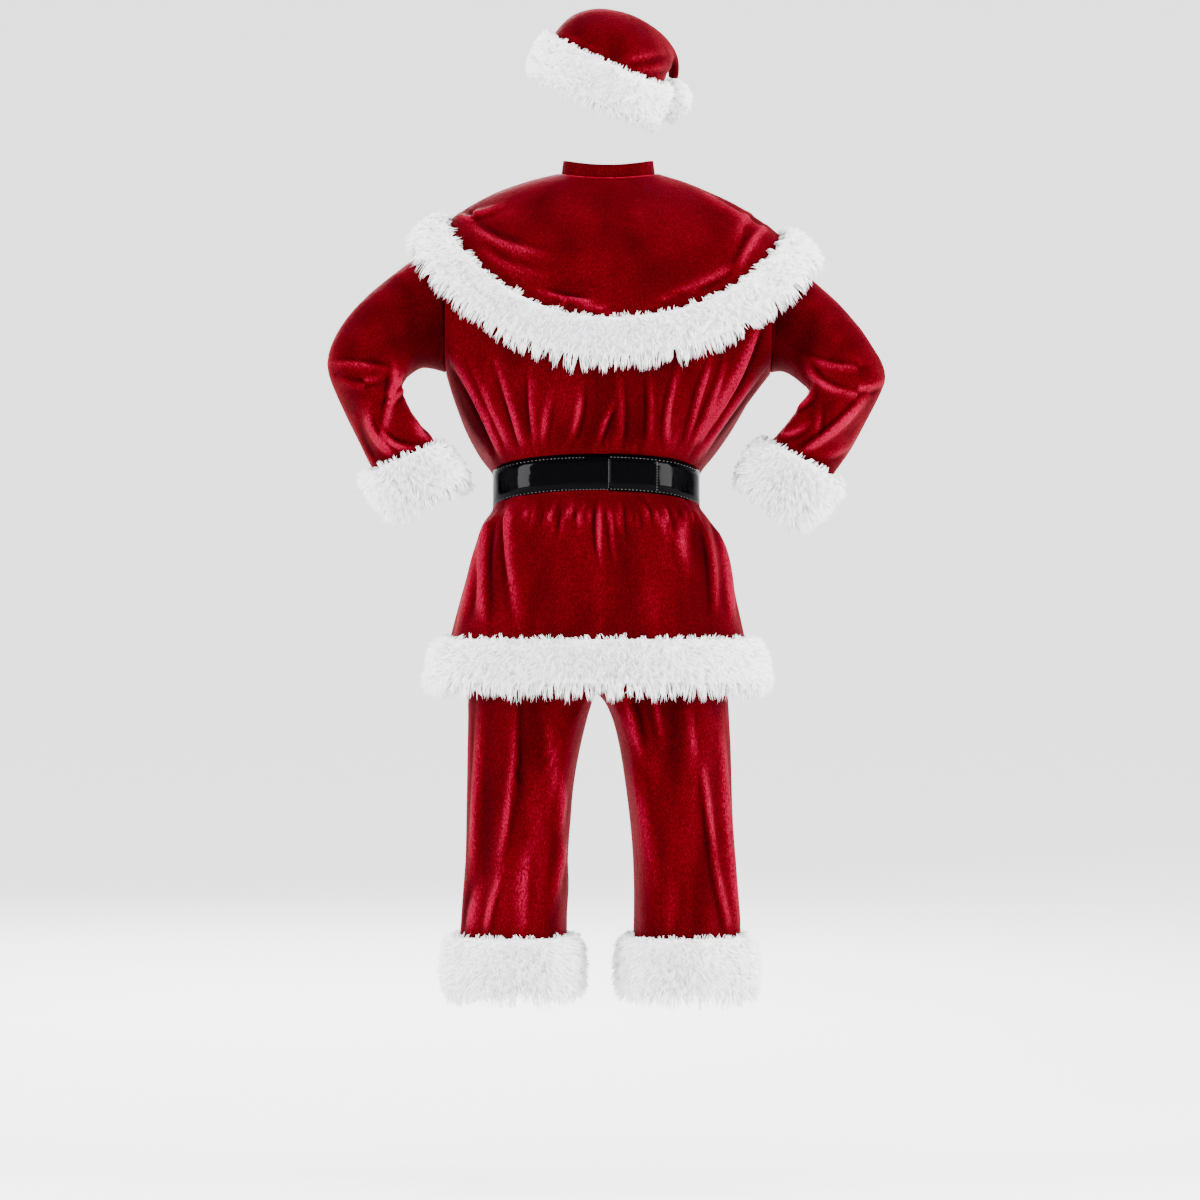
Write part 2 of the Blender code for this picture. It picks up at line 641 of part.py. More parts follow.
def tube_stations(top_row, edge_row):
    middle = sum(edge_row, Vector()) / len(edge_row)
    axis = (middle - sum(top_row, Vector()) / len(top_row)).normalized()
    stations = []
    for top, edge in zip(top_row, edge_row):
        away = edge - middle
        outward = (away - axis * away.dot(axis)).normalized()
        stations.append((top, edge, outward))
    return stations


def build_sleeves():
    for word, side in (("left", 1.0), ("right", -1.0)):
        rows = build_sleeve(f"sleeve_{word}", side)
        stations = tube_stations(rows[-2], rows[-1])
        fur_band(f"sleeve_cuff_{word}", stations, CUFF_PILE, True, SLEEVE_FUR_CLEAR)


# Cape

def cape_point(turn_deg, share, extra=0.0):
    """The cape's outer face: share 0 at the neck, 1 at the hem."""
    turn = math.radians(turn_deg)
    side, back = math.sin(turn), math.cos(turn)
    half, neck_back, neck_front = CAPE_NECK
    neck_y = (neck_back if back > 0.0 else neck_front) * back
    dip = NECK_DIP_BACK if back > 0.0 else NECK_DIP_FRONT
    above = 0.010 if back > 0.0 else 0.010 + 0.009 * back**2
    neck = Vector((YOKE_MIDDLE + half * side, neck_y, NECK_TOP - dip * back**2 + above))
    at_side = CAPE_HEM_LEFT if side > 0.0 else CAPE_HEM_RIGHT
    at_end = CAPE_HEM_BACK if back > 0.0 else CAPE_HEM_FRONT
    hem = Vector((
        at_side.x * abs(side) + at_end.x * (1.0 - abs(side)),
        at_end.y * abs(back),
        at_side.z + (at_end.z - at_side.z) * abs(back) ** 1.6,
    ))
    rise = 0.004 + 0.008 * side + 0.040 * abs(back)
    out = 0.62 + 0.14 * abs(back)
    knee = Vector((
        neck.x + (hem.x - neck.x) * out,
        neck.y + (hem.y - neck.y) * out,
        neck.z + (hem.z - neck.z) * 0.30 + rise * 0.55,
    ))
    near, far = neck.lerp(knee, share), knee.lerp(hem, share)
    point = near.lerp(far, share)
    outward = Vector((side * 0.8, back, 0.55)).normalized()
    wave = fold_height(CAPE_WAVES, turn_deg, share)
    return point + outward * (wave + extra)


def band_share(turn_deg):
    """Where the cape's fur starts, so that its band is even in width all round."""
    edge = cape_point(turn_deg, 1.0)
    near, far = 0.3, 1.0
    for _ in range(14):
        middle = (near + far) / 2.0
        if (edge - cape_point(turn_deg, middle)).length > CAPE_BAND:
            near = middle
        else:
            far = middle
    return far


def build_cape():
    turns = columns_between(-179.4, 179.4, CAPE_COLUMNS)
    starts = [band_share(turn) for turn in turns]
    rows = []
    for row in range(CAPE_ROWS):
        shares = [start * row / (CAPE_ROWS - 1) for start in starts]
        rows.append([cape_point(turn, share) for turn, share in zip(turns, shares)])
    rows.append([cape_point(turn, 1.0) for turn in turns])
    cloth("cape", rows)
    stations = []
    for turn_deg, top, edge in zip(turns, rows[-2], rows[-1]):
        turn = math.radians(turn_deg)
        down = (edge - top).normalized()
        away = Vector((math.sin(turn), math.cos(turn), 0.6))
        outward = (away - down * away.dot(down)).normalized()
        stations.append((top, edge, outward))
    fur_band("cape_fur", stations, CAPE_PILE, False, CAPE_FUR_CLEAR)


# Belt

def belt_point(turn_deg, height, out):
    """A point on the belt: height above its middle line, out from the coat's outer face."""
    section = body_point(turn_deg, BELT_ROW, extra=BELT_CLEAR + out, folded=False)
    return section + Vector((0.0, 0.0, height))


def build_belt():
    """One strap wound once round the waist, its end lapped over its start at the back."""
    count = round((BELT_END_DEG - BELT_START_DEG) / BELT_STEP_DEG)
    rows = []
    for turn in columns_between(BELT_START_DEG, BELT_END_DEG, count):
        t = (turn - BELT_LIFT_FROM_DEG) / (BELT_LIFT_TO_DEG - BELT_LIFT_FROM_DEG)
        lift = (BELT_THICK + 0.0004) * ease(t)
        half = BELT_WIDTH / 2.0
        rows.append([
            belt_point(turn, half, lift),
            belt_point(turn, -half, lift),
            belt_point(turn, -half, lift + BELT_THICK),
            belt_point(turn, half, lift + BELT_THICK),
        ])
    bm = bmesh.new()
    grid = loft(bm, rows, closed_columns=True)
    bm.faces.new(grid[0])
    bm.faces.new(list(reversed(grid[-1])))
    bmesh.ops.recalc_face_normals(bm, faces=bm.faces)
    new_object("belt_strap", bm, "patent")


def bent_to_belt(x, z, out):
    """A buckle point: x and z across its face, out from the belt's outer face."""
    row = section_at(BODY, BELT_ROW)
    side = x / row.half
    depth = row.front * math.sqrt(1.0 - side * side) ** 0.85
    y = -(depth + BELT_CLEAR + BELT_THICK + 0.0008 + out)
    return Vector((row.middle + x, y, BELT_ROW + row.tilt * y + z))


def side_points(start, end):
    """The start of one side of the buckle, and points along a long side, to bend it by."""
    steps = 4 if abs(end[0] - start[0]) > 0.02 else 1
    return [tuple(a + (b - a) * i / steps for a, b in zip(start, end)) for i in range(steps)]


def build_buckle():
    """A plain rectangular frame, bent to the belt, with a prong across its middle."""
    half_x, half_z = BUCKLE_SIZE[0] / 2.0, BUCKLE_SIZE[1] / 2.0
    corner = 0.010
    outline = []
    for quarter, (sx, sz) in enumerate(((1, 1), (-1, 1), (-1, -1), (1, -1))):
        for step in range(4):
            turn = math.radians(90.0 * quarter + 30.0 * step)
            x = sx * (half_x - corner) + corner * math.cos(turn)
            z = sz * (half_z - corner) + corner * math.sin(turn)
            outline.append((x, z))
    outline = [point for pair in zip(outline, outline[1:] + outline[:1])
               for point in side_points(*pair)]
    inner_x = (half_x - BUCKLE_BAR) / half_x
    inner_z = (half_z - BUCKLE_BAR) / half_z
    rows = []
    for x, z in outline:
        rows.append([
            bent_to_belt(x, z, 0.0),
            bent_to_belt(x, z, BUCKLE_THICK * 0.7),
            bent_to_belt(x * 0.94, z * 0.93, BUCKLE_THICK),
            bent_to_belt(x * inner_x, z * inner_z, BUCKLE_THICK),
            bent_to_belt(x * inner_x, z * inner_z, 0.0),
        ])
    bm = bmesh.new()
    loft(bm, rows, closed_columns=True, closed_rows=True)
    bmesh.ops.recalc_face_normals(bm, faces=bm.faces)
    frame = new_object("belt_buckle", bm, "metal")
    prong_rows = []
    for step in range(7):
        x = (half_x - 0.004) * (step / 3.0 - 1.0)
        ring = []
        for turn_deg in range(0, 360, 45):
            turn = math.radians(turn_deg)
            out = PRONG_RADIUS * (1.1 + math.sin(turn)) + 0.0004
            ring.append(bent_to_belt(x, PRONG_RADIUS * math.cos(turn), out))
        prong_rows.append(ring)
    bm = bmesh.new()
    grid = loft(bm, prong_rows, closed_columns=True)
    bm.faces.new(grid[0])
    bm.faces.new(list(reversed(grid[-1])))
    bmesh.ops.recalc_face_normals(bm, faces=bm.faces)
    prong = new_object("prong_joined_to_buckle", bm, "metal")
    prong.hide_render = True
    prong.display_type = "WIRE"
    SUIT.objects.unlink(prong)
    CUTTERS.objects.link(prong)
    join = frame.modifiers.new("prong", "BOOLEAN")
    join.operation = "UNION"
    join.object = prong


# Trousers

def leg_point(row, turn_deg, seam_x):
    """A point of a leg: 0 front, 90 outer side, 180 back, 270 inner side."""
    turn = math.radians(turn_deg)
    side, back = math.sin(turn), -math.cos(turn)
    reach = (row.outer - row.mid) if side >= 0.0 else (row.mid - row.inner)
    depth = row.back if back > 0.0 else row.front
    squared = 1.0 if seam_x is not None else 0.85
    x = row.mid + reach * math.copysign(abs(side) ** squared, side)
    y = depth * math.copysign(abs(back) ** 0.85, back)
    point = Vector((seam_x + x if seam_x is not None else x, y, row.z + row.tilt * y))
    out = fold_height(LEG_FOLDS, turn_deg, row.z)
    towards = math.copysign(1.0, row.outer - row.mid)
    return point + Vector((towards * side * out, back * out, 0.0))


def build_leg(name, side):
    """One trouser leg with its half of the seat. The inner columns start below the crotch."""
    seam_x = SEAT_SEAM_X + side * SEAM_GAP / 2.0
    seat = [r._replace(outer=r.outer * side) for r in SEAT]
    leg = LEG_LEFT if side > 0.0 else LEG_RIGHT
    arc = columns_between(0.0, 180.0, LEG_ARC_COLUMNS)
    inner = columns_between(180.0, 360.0, LEG_INNER_COLUMNS)[1:-1]
    bm = bmesh.new()
    seat_grid = [[bm.verts.new(leg_point(r, t, seam_x)) for t in arc] for r in seat]
    crotch = seat[-1]
    straight = []
    for i in range(1, LEG_INNER_COLUMNS):
        share = i / LEG_INNER_COLUMNS
        y = crotch.back + (-crotch.front - crotch.back) * share
        sag = 0.012 * math.sin(math.pi * share)
        straight.append(bm.verts.new(Vector((seam_x, y, crotch.z - sag))))
    leg_grid = []
    for row in leg:
        turns = [*arc, *inner]
        leg_grid.append([bm.verts.new(leg_point(row, t, None)) for t in turns])
    for upper, lower in zip(seat_grid, seat_grid[1:]):
        for i in range(len(arc) - 1):
            bm.faces.new((upper[i], lower[i], lower[i + 1], upper[i + 1]))
    rings = [[*seat_grid[-1], *straight], *leg_grid]
    for upper, lower in zip(rings, rings[1:]):
        for i in range(len(upper)):
            j = (i + 1) % len(upper)
            bm.faces.new((upper[i], lower[i], lower[j], upper[j]))
    face_outwards(bm)
    edge_rows = [[v.co.copy() for v in leg_grid[k]] for k in (-2, -1)]
    obj = new_object(name, bm, "velvet")
    wall = obj.modifiers.new("wall", "SOLIDIFY")
    wall.thickness = VELVET
    wall.offset = -1.0
    return edge_rows


def build_trousers():
    for word, side in (("left", 1.0), ("right", -1.0)):
        top_row, edge_row = build_leg(f"trouser_leg_{word}", side)
        stations = tube_stations(top_row, edge_row)
        fur_band(f"leg_cuff_{word}", stations, LEG_PILE, closed=True)


def build_waistband():
    """The elastic casing at the top of the trousers, pressed to the coat by the belt."""
    rows = []
    for z_row in (-0.470, -0.506):
        row = []
        for turn in columns_between(0.0, 360.0, 48)[:-1]:
            point = body_point(turn, BELT_ROW, extra=-VELVET - 0.0008, folded=False)
            row.append(point + Vector((0.0, 0.0, z_row - BELT_ROW)))
        rows.append(row)
    cloth("waistband", rows, closed=True, thick=0.0025)


# Hat

def hat_matrix():
    nod = Matrix.Rotation(math.radians(HAT_NOD_DEG), 4, "X")
    roll = Matrix.Rotation(math.radians(HAT_ROLL_DEG), 4, "Y")
    return Matrix.Translation(HAT_CENTRE) @ roll @ nod


def hat_local(r, across, z):
    """A hat point: r towards the tail's side, across it, and z along the hat's axis."""
    turn = math.radians(HAT_TAIL_DEG)
    x = -r * math.cos(turn) + across * math.sin(turn)
    y = -r * math.sin(turn) - across * math.cos(turn)
    return hat_matrix() @ Vector((x, y, z))


def hat_ring(ring):
    middle_r, reach_r = (ring.inner_r + ring.outer_r) / 2.0, (ring.inner_r - ring.outer_r) / 2.0
    middle_z, reach_z = (ring.inner_z + ring.outer_z) / 2.0, (ring.inner_z - ring.outer_z) / 2.0
    points = []
    for i in range(HAT_COLUMNS):
        turn = 2.0 * math.pi * i / HAT_COLUMNS
        r = middle_r + reach_r * math.cos(turn)
        z = middle_z + reach_z * math.cos(turn)
        points.append(hat_local(r, ring.depth * math.sin(turn), z))
    return points


def build_hat():
    rows = [hat_ring(ring) for ring in HAT]
    cloth("hat_crown", rows, closed=True)
    stations = tube_stations(rows[1], rows[0])
    fur_band("hat_band", stations, HAT_PILE, closed=True)
    bm = bmesh.new()
    tail = HAT[-1]
    reach = POMPOM_RADIUS * 0.961
    tail_r = (tail.inner_r + tail.outer_r) / 2.0
    tail_z = (tail.inner_z + tail.outer_z) / 2.0
    centre = hat_local(tail_r + 0.35 * reach, 0.0, tail_z - 0.94 * reach)
    bmesh.ops.create_icosphere(
        bm, subdivisions=2, radius=POMPOM_RADIUS, matrix=Matrix.Translation(centre)
    )
    new_object("hat_pompom", bm, "fur")


clear_scene()
SUIT = bpy.data.collections.new("santa_suit")
CUTTERS = bpy.data.collections.new("joined_shapes")
bpy.context.scene.collection.children.link(SUIT)
bpy.context.scene.collection.children.link(CUTTERS)
MATERIALS = {name: make_material(name) for name in COLOURS}
build_coat()
build_collar()
build_hem_fur()
build_sleeves()
build_cape()
build_belt()
build_buckle()
build_trousers()
build_waistband()
build_hat()
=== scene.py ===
"""The looks of a red velvet suit with white fur: coat, shoulder cape, belt, trousers and hat."""

import math
from collections import namedtuple

import bmesh
import bpy
import numpy as np
from mathutils import Matrix, Vector, noise
from mathutils.bvhtree import BVHTree


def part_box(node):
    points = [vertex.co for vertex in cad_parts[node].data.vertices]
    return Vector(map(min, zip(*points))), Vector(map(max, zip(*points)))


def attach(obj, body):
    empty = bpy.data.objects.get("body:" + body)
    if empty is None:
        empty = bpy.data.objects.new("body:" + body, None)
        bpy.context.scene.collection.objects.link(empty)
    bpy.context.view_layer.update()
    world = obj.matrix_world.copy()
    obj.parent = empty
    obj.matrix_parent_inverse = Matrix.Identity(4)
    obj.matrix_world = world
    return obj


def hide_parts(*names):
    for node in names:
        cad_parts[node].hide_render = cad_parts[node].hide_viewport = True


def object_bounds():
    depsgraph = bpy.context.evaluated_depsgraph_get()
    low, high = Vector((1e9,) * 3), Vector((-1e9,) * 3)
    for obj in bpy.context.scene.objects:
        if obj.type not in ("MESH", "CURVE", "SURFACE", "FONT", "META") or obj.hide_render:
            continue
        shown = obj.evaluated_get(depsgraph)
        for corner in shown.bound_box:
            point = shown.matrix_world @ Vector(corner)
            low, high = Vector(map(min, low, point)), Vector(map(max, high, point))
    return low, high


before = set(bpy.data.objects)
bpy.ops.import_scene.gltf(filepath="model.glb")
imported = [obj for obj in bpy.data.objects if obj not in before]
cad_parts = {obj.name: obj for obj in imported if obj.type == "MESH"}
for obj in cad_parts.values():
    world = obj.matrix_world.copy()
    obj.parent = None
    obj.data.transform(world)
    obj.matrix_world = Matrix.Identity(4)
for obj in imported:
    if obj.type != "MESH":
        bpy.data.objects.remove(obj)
cad_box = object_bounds()

# Coat
# A back and two fronts cut from pile velvet and sewn at the sides and shoulders, with a low stand
# collar and long fur at the hem. The belt gathers the waist: the cloth fans out above it in long
# folds and breaks in short ones below it.


def linear(hex_colour):
    """An sRGB colour such as "#8B0A12" as the linear values that a shader takes."""
    parts = [int(hex_colour[i : i + 2], 16) / 255.0 for i in (1, 3, 5)]
    return (*[c / 12.92 if c <= 0.04045 else ((c + 0.055) / 1.055) ** 2.4 for c in parts], 1.0)


def add(material, kind, inputs=None, **settings):
    """Adds a shader node. An input is a value, or another node's output that is linked to it."""
    tree = material.node_tree
    new = tree.nodes.new(kind)
    for name, value in settings.items():
        setattr(new, name, value)
    for name, value in (inputs or {}).items():
        if isinstance(value, bpy.types.NodeSocket):
            tree.links.new(value, new.inputs[name])
        else:
            new.inputs[name].default_value = value
    return new


def new_material(name):
    material = bpy.data.materials.new(name)
    material.use_nodes = True
    material.node_tree.nodes.clear()
    return material


def finish_material(material, surface):
    add(material, "ShaderNodeOutputMaterial", {"Surface": surface.outputs[0]})
    return material


def colour_ramp(material, factor, stops):
    """Colours from one end of a pattern to the other: pairs of place and hex colour."""
    ramp = add(material, "ShaderNodeValToRGB", {"Fac": factor})
    elements = ramp.color_ramp.elements
    while len(elements) < len(stops):
        elements.new(0.5)
    for element, (place, colour) in zip(elements, stops):
        element.position = place
        element.color = linear(colour)
    return ramp.outputs["Color"]


def crushed_velvet(name, lay=(1.0, 1.0, 0.28)):
    """Polyester pile velvet. Its pile stands 1 mm high and lies over in streaks along lay. The
    colour mixes random tone of the lay with painted sheen along the streaks, from bright pink to
    nearly black, painted glints in the grain, and painted highlights and shade on the folds.
    Edges catch light as sheen."""
    m = new_material(name)
    place = add(m, "ShaderNodeTexCoord").outputs["Object"]
    along = add(m, "ShaderNodeMapping", {"Vector": place, "Scale": lay}).outputs[0]
    # Streaks 30 to 60 mm wide where the pile lies one way, which give random tone and painted
    # sheen
    streaks = add(m, "ShaderNodeTexNoise", {
        "Vector": along, "Scale": 17.0, "Detail": 3.0, "Roughness": 0.55, "Distortion": 0.5})
    # Tufts of pile, really 0.4 mm and drawn 1.6 mm across and 4 mm tall so that they show
    upright = add(m, "ShaderNodeMapping", {"Vector": place, "Scale": (1.0, 1.0, 0.4)})
    tufts = add(m, "ShaderNodeTexNoise", {
        "Vector": upright.outputs[0], "Scale": 620.0, "Detail": 1.0, "Roughness": 0.6})
    # The tufts also mottle the colour: grain with painted glints
    grain_and_glints = add(m, "ShaderNodeMath", {0: tufts.outputs["Fac"], 1: 0.56}, operation="MULTIPLY")
    mottle_and_painted_sheen = add(m, "ShaderNodeMath", {
        0: streaks.outputs["Fac"], 1: 0.34, 2: grain_and_glints.outputs[0]}, operation="MULTIPLY_ADD")
    # Painted highlight where a fold lifts the cloth, and painted shade in the hollows beside it
    painted_fold_light = add(m, "ShaderNodeAttribute", attribute_name="painted_fold_light").outputs["Fac"]
    pile_lie_and_painted_light = add(m, "ShaderNodeMath", {0: painted_fold_light, 1: 0.30, 2: mottle_and_painted_sheen.outputs[0]},
              operation="MULTIPLY_ADD").outputs[0]
    # Colours from nearly black, painted shade and dark tone, to bright pink painted highlight and
    # sheen
    colour = colour_ramp(m, pile_lie_and_painted_light, [
        (0.14, "#140001"), (0.44, "#310004"), (0.60, "#460109"), (0.92, "#85032C")])
    gloss = add(m, "ShaderNodeMapRange", {
        "Value": pile_lie_and_painted_light, "From Min": 0.30, "From Max": 0.80, "To Min": 0.75, "To Max": 0.45})
    ruffle = add(m, "ShaderNodeTexNoise", {
        "Vector": along, "Scale": 46.0, "Detail": 4.0, "Roughness": 0.6})
    soft = add(m, "ShaderNodeBump", {
        "Height": ruffle.outputs["Fac"], "Strength": 0.25, "Distance": 0.006})
    pile = add(m, "ShaderNodeBump", {
        "Height": tufts.outputs["Fac"], "Normal": soft.outputs[0],
        "Strength": 0.6, "Distance": 0.0012})
    shader = add(m, "ShaderNodeBsdfPrincipled", {
        "Base Color": colour, "Roughness": gloss.outputs[0], "Normal": pile.outputs[0],
        "Specular IOR Level": 0.02, "Specular Tint": linear("#FF1C34"),
        "Sheen Weight": 0.22, "Sheen Roughness": 0.35, "Sheen Tint": linear("#FF1046")})
    return finish_material(m, shader)


# A crease runs from start by way of middle to end, points (x, z) as seen from behind. A narrow
# hollow lies along it with a ridge beside it, on its +X side where width is +.
Crease = namedtuple("Crease", "start middle end width lift side")
BACK, FRONT, BOTH = 1, -1, 0
MERGE_DISTANCE = 1e-5
QUAD_FLAT_DEG = 35.0
QUAD_SHAPE_DEG = 75.0
CUT_EDGE_DEG = 70.0
SMOOTH_CUT = 180.0


def rounded_copy(node, name, levels, keep_deg=CUT_EDGE_DEG):
    """A CAD wall with its triangles joined to quads and rounded, and its cut edges kept."""
    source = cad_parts[node].data
    bm = bmesh.new()
    bm.from_mesh(source)
    bmesh.ops.remove_doubles(bm, verts=bm.verts, dist=MERGE_DISTANCE)
    bmesh.ops.join_triangles(
        bm, faces=bm.faces, angle_face_threshold=math.radians(QUAD_FLAT_DEG),
        angle_shape_threshold=math.radians(QUAD_SHAPE_DEG))
    crease = bm.edges.layers.float.new("crease_edge")
    for edge in bm.edges:
        if len(edge.link_faces) == 2 and edge.calc_face_angle() > math.radians(keep_deg):
            edge[crease] = 1.0
    mesh = bpy.data.meshes.new(name)
    bm.to_mesh(mesh)
    bm.free()
    obj = bpy.data.objects.new(name, mesh)
    bpy.context.scene.collection.objects.link(obj)
    rounding = obj.modifiers.new("rounding", "SUBSURF")
    rounding.levels = rounding.render_levels = levels
    apply_modifiers(obj)
    if keep_deg < SMOOTH_CUT:
        obj.data.set_sharp_from_angle(angle=math.radians(keep_deg * 0.8))
    return obj


def apply_modifiers(obj):
    graph = bpy.context.evaluated_depsgraph_get()
    old = obj.data
    obj.data = bpy.data.meshes.new_from_object(obj.evaluated_get(graph))
    obj.modifiers.clear()
    bpy.data.meshes.remove(old)
    obj.data.name = obj.name
    obj.data.shade_smooth()


def refine(obj, low, high, outward_y):
    """Cuts the faces in a box that look to +Y or -Y in four, for folds finer than the rest."""
    bm = bmesh.new()
    bm.from_mesh(obj.data)
    fine = [f for f in bm.faces if f.normal.y * outward_y > 0.1
            and all(a < c < b for a, c, b in zip(low, f.calc_center_median(), high))]
    edges = {edge for face in fine for edge in face.edges}
    bmesh.ops.subdivide_edges(bm, edges=list(edges), cuts=1, use_grid_fill=True)
    bm.to_mesh(obj.data)
    bm.free()


def points_of(obj):
    points = np.empty(len(obj.data.vertices) * 3)
    obj.data.vertices.foreach_get("co", points)
    return points.reshape(-1, 3)


def set_points(obj, points):
    obj.data.vertices.foreach_set("co", points.reshape(-1))
    obj.data.update()


# A crease's section, in crease widths from its line, and how it fades towards its ends
RIDGE_AT = 0.7
HOLLOW_AT = -0.55
HOLLOW_WIDTH = 0.6
HOLLOW_SHARE = 0.55
CREASE_REACH = 4.0
CREASE_PARTS = 8
END_FADE = 0.6
SIDE_SWITCH = 2.5
FAR = 9.0


def crease_height(points, creases, side_of):
    """How far each crease lifts the cloth: a ridge, a hollow beside it, fading at its ends."""
    height = np.zeros(len(points))
    x, z = points[:, 0], points[:, 2]
    for c in creases:
        a, b, d = (np.array(point) for point in (c.start, c.middle, c.end))
        steps = np.linspace(0.0, 1.0, CREASE_PARTS + 1)[:, None]
        line = (1 - steps) * (1 - 2 * steps) * a + 4 * steps * (1 - steps) * b \
            + steps * (2 * steps - 1) * d
        reach = CREASE_REACH * abs(c.width)
        low, high = line.min(axis=0) - reach, line.max(axis=0) + reach
        near = np.flatnonzero((x > low[0]) & (x < high[0]) & (z > low[1]) & (z < high[1]))
        best = np.full(len(near), FAR)
        signed = np.zeros(len(near))
        share = np.zeros(len(near))
        for k, (p, q) in enumerate(zip(line, line[1:])):
            run = q - p
            dx, dz = x[near] - p[0], z[near] - p[1]
            t = np.clip((dx * run[0] + dz * run[1]) / (run @ run), 0.0, 1.0)
            far = np.hypot(dx - t * run[0], dz - t * run[1])
            nearer = far < best
            best[nearer] = far[nearer]
            side = np.sign((dx * run[1] - dz * run[0]) * (1.0 if run[1] > 0.0 else -1.0))
            signed[nearer] = (far * side)[nearer]
            share[nearer] = ((k + t) / CREASE_PARTS)[nearer]
        u = signed / c.width
        ridge = np.exp(-((u - RIDGE_AT) ** 2))
        hollow = np.exp(-(((u - HOLLOW_AT) / HOLLOW_WIDTH) ** 2))
        fade = np.sin(math.pi * np.clip(share, 0.03, 0.97)) ** END_FADE
        lift = c.lift * (ridge - HOLLOW_SHARE * hollow) * fade
        if c.side:
            lift *= np.clip(0.5 + side_of[near] * c.side * SIDE_SWITCH, 0.0, 1.0)
        height[near] += lift
    return height


def outward_round(middle_x, middle_y=0.0):
    """Level directions away from an upright line, which may lean with height."""
    def outward(points):
        away = points - np.stack([
            middle_x(points[:, 2]), np.full(len(points), middle_y), points[:, 2]], axis=1)
        return away / np.maximum(np.linalg.norm(away, axis=1), 1e-6)[:, None]
    return outward


FULL_FOLD = 0.005


def paint_fold_light(obj, lift):
    """Keeps how high the folds stand, from -1 to 1, for the material to paint highlights on the
    ridges and shade in the hollows. Hollows count double.
    """
    depth = np.where(lift < 0.0, 2.0 * lift, lift) / FULL_FOLD
    painted_fold_light = obj.data.attributes.new("painted_fold_light", "FLOAT", "POINT")
    painted_fold_light.data.foreach_set("value", np.clip(depth, -1.0, 1.0))


def streaky(points, across, along, seed):
    """Seeded soft noise in streaks: across and along are their sizes in metres."""
    shift = Vector((seed * 7.3, seed * 3.1, seed * 5.7))
    size = Vector((1.0 / across, 1.0 / across, 1.0 / along))
    return np.array([
        noise.noise(Vector((p[0] * size.x, p[1] * size.y, p[2] * size.z)) + shift)
        for p in points])


def dressed(obj, material, node):
    obj.data.materials.clear()
    obj.data.materials.append(material)
    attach(obj, "root")
    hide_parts(node)


YOKE_MIDDLE_X = 0.006
COAT_LEAN = 0.018
LEAN_FROM_Z = -0.305
LEAN_RUN = 0.12


def coat_middle(z):
    """The coat leans a little to +X below the chest."""
    return YOKE_MIDDLE_X + COAT_LEAN * np.clip((LEAN_FROM_Z - z) / LEAN_RUN, 0.0, 1.0)


# Long folds that fan out above the belt, as the photo shows them from behind
ABOVE_BELT = [
    Crease((0.169, -0.453), (0.201, -0.373), (0.246, -0.291), -0.0070, 0.0075, BACK),
    Crease((0.151, -0.447), (0.181, -0.379), (0.219, -0.297), -0.0060, 0.0045, BACK),
    Crease((0.137, -0.432), (0.151, -0.385), (0.178, -0.297), -0.0060, 0.0060, BACK),
    Crease((0.119, -0.426), (0.126, -0.367), (0.128, -0.308), -0.0055, 0.0046, BACK),
    Crease((0.101, -0.426), (0.099, -0.391), (0.090, -0.344), 0.0055, 0.0040, BACK),
    Crease((0.066, -0.426), (0.049, -0.379), (0.044, -0.332), 0.0055, 0.0046, BACK),
    Crease((0.021, -0.426), (0.010, -0.391), (-0.005, -0.358), 0.0046, 0.0050, BACK),
    Crease((-0.014, -0.426), (-0.018, -0.379), (-0.016, -0.320), 0.0060, 0.0034, BACK),
    Crease((-0.051, -0.426), (-0.055, -0.367), (-0.052, -0.308), -0.0055, 0.0038, BACK),
    Crease((-0.081, -0.423), (-0.081, -0.367), (-0.099, -0.297), -0.0050, 0.0048, BACK),
    Crease((-0.108, -0.423), (-0.128, -0.344), (-0.146, -0.291), -0.0050, 0.0055, BACK),
    Crease((-0.115, -0.426), (-0.151, -0.344), (-0.170, -0.285), -0.0050, 0.0045, BACK),
    Crease((-0.120, -0.429), (-0.187, -0.332), (-0.234, -0.220), 0.0080, 0.0080, BACK),
    Crease((-0.128, -0.453), (-0.181, -0.373), (-0.234, -0.303), 0.0070, 0.0060, BACK),
]
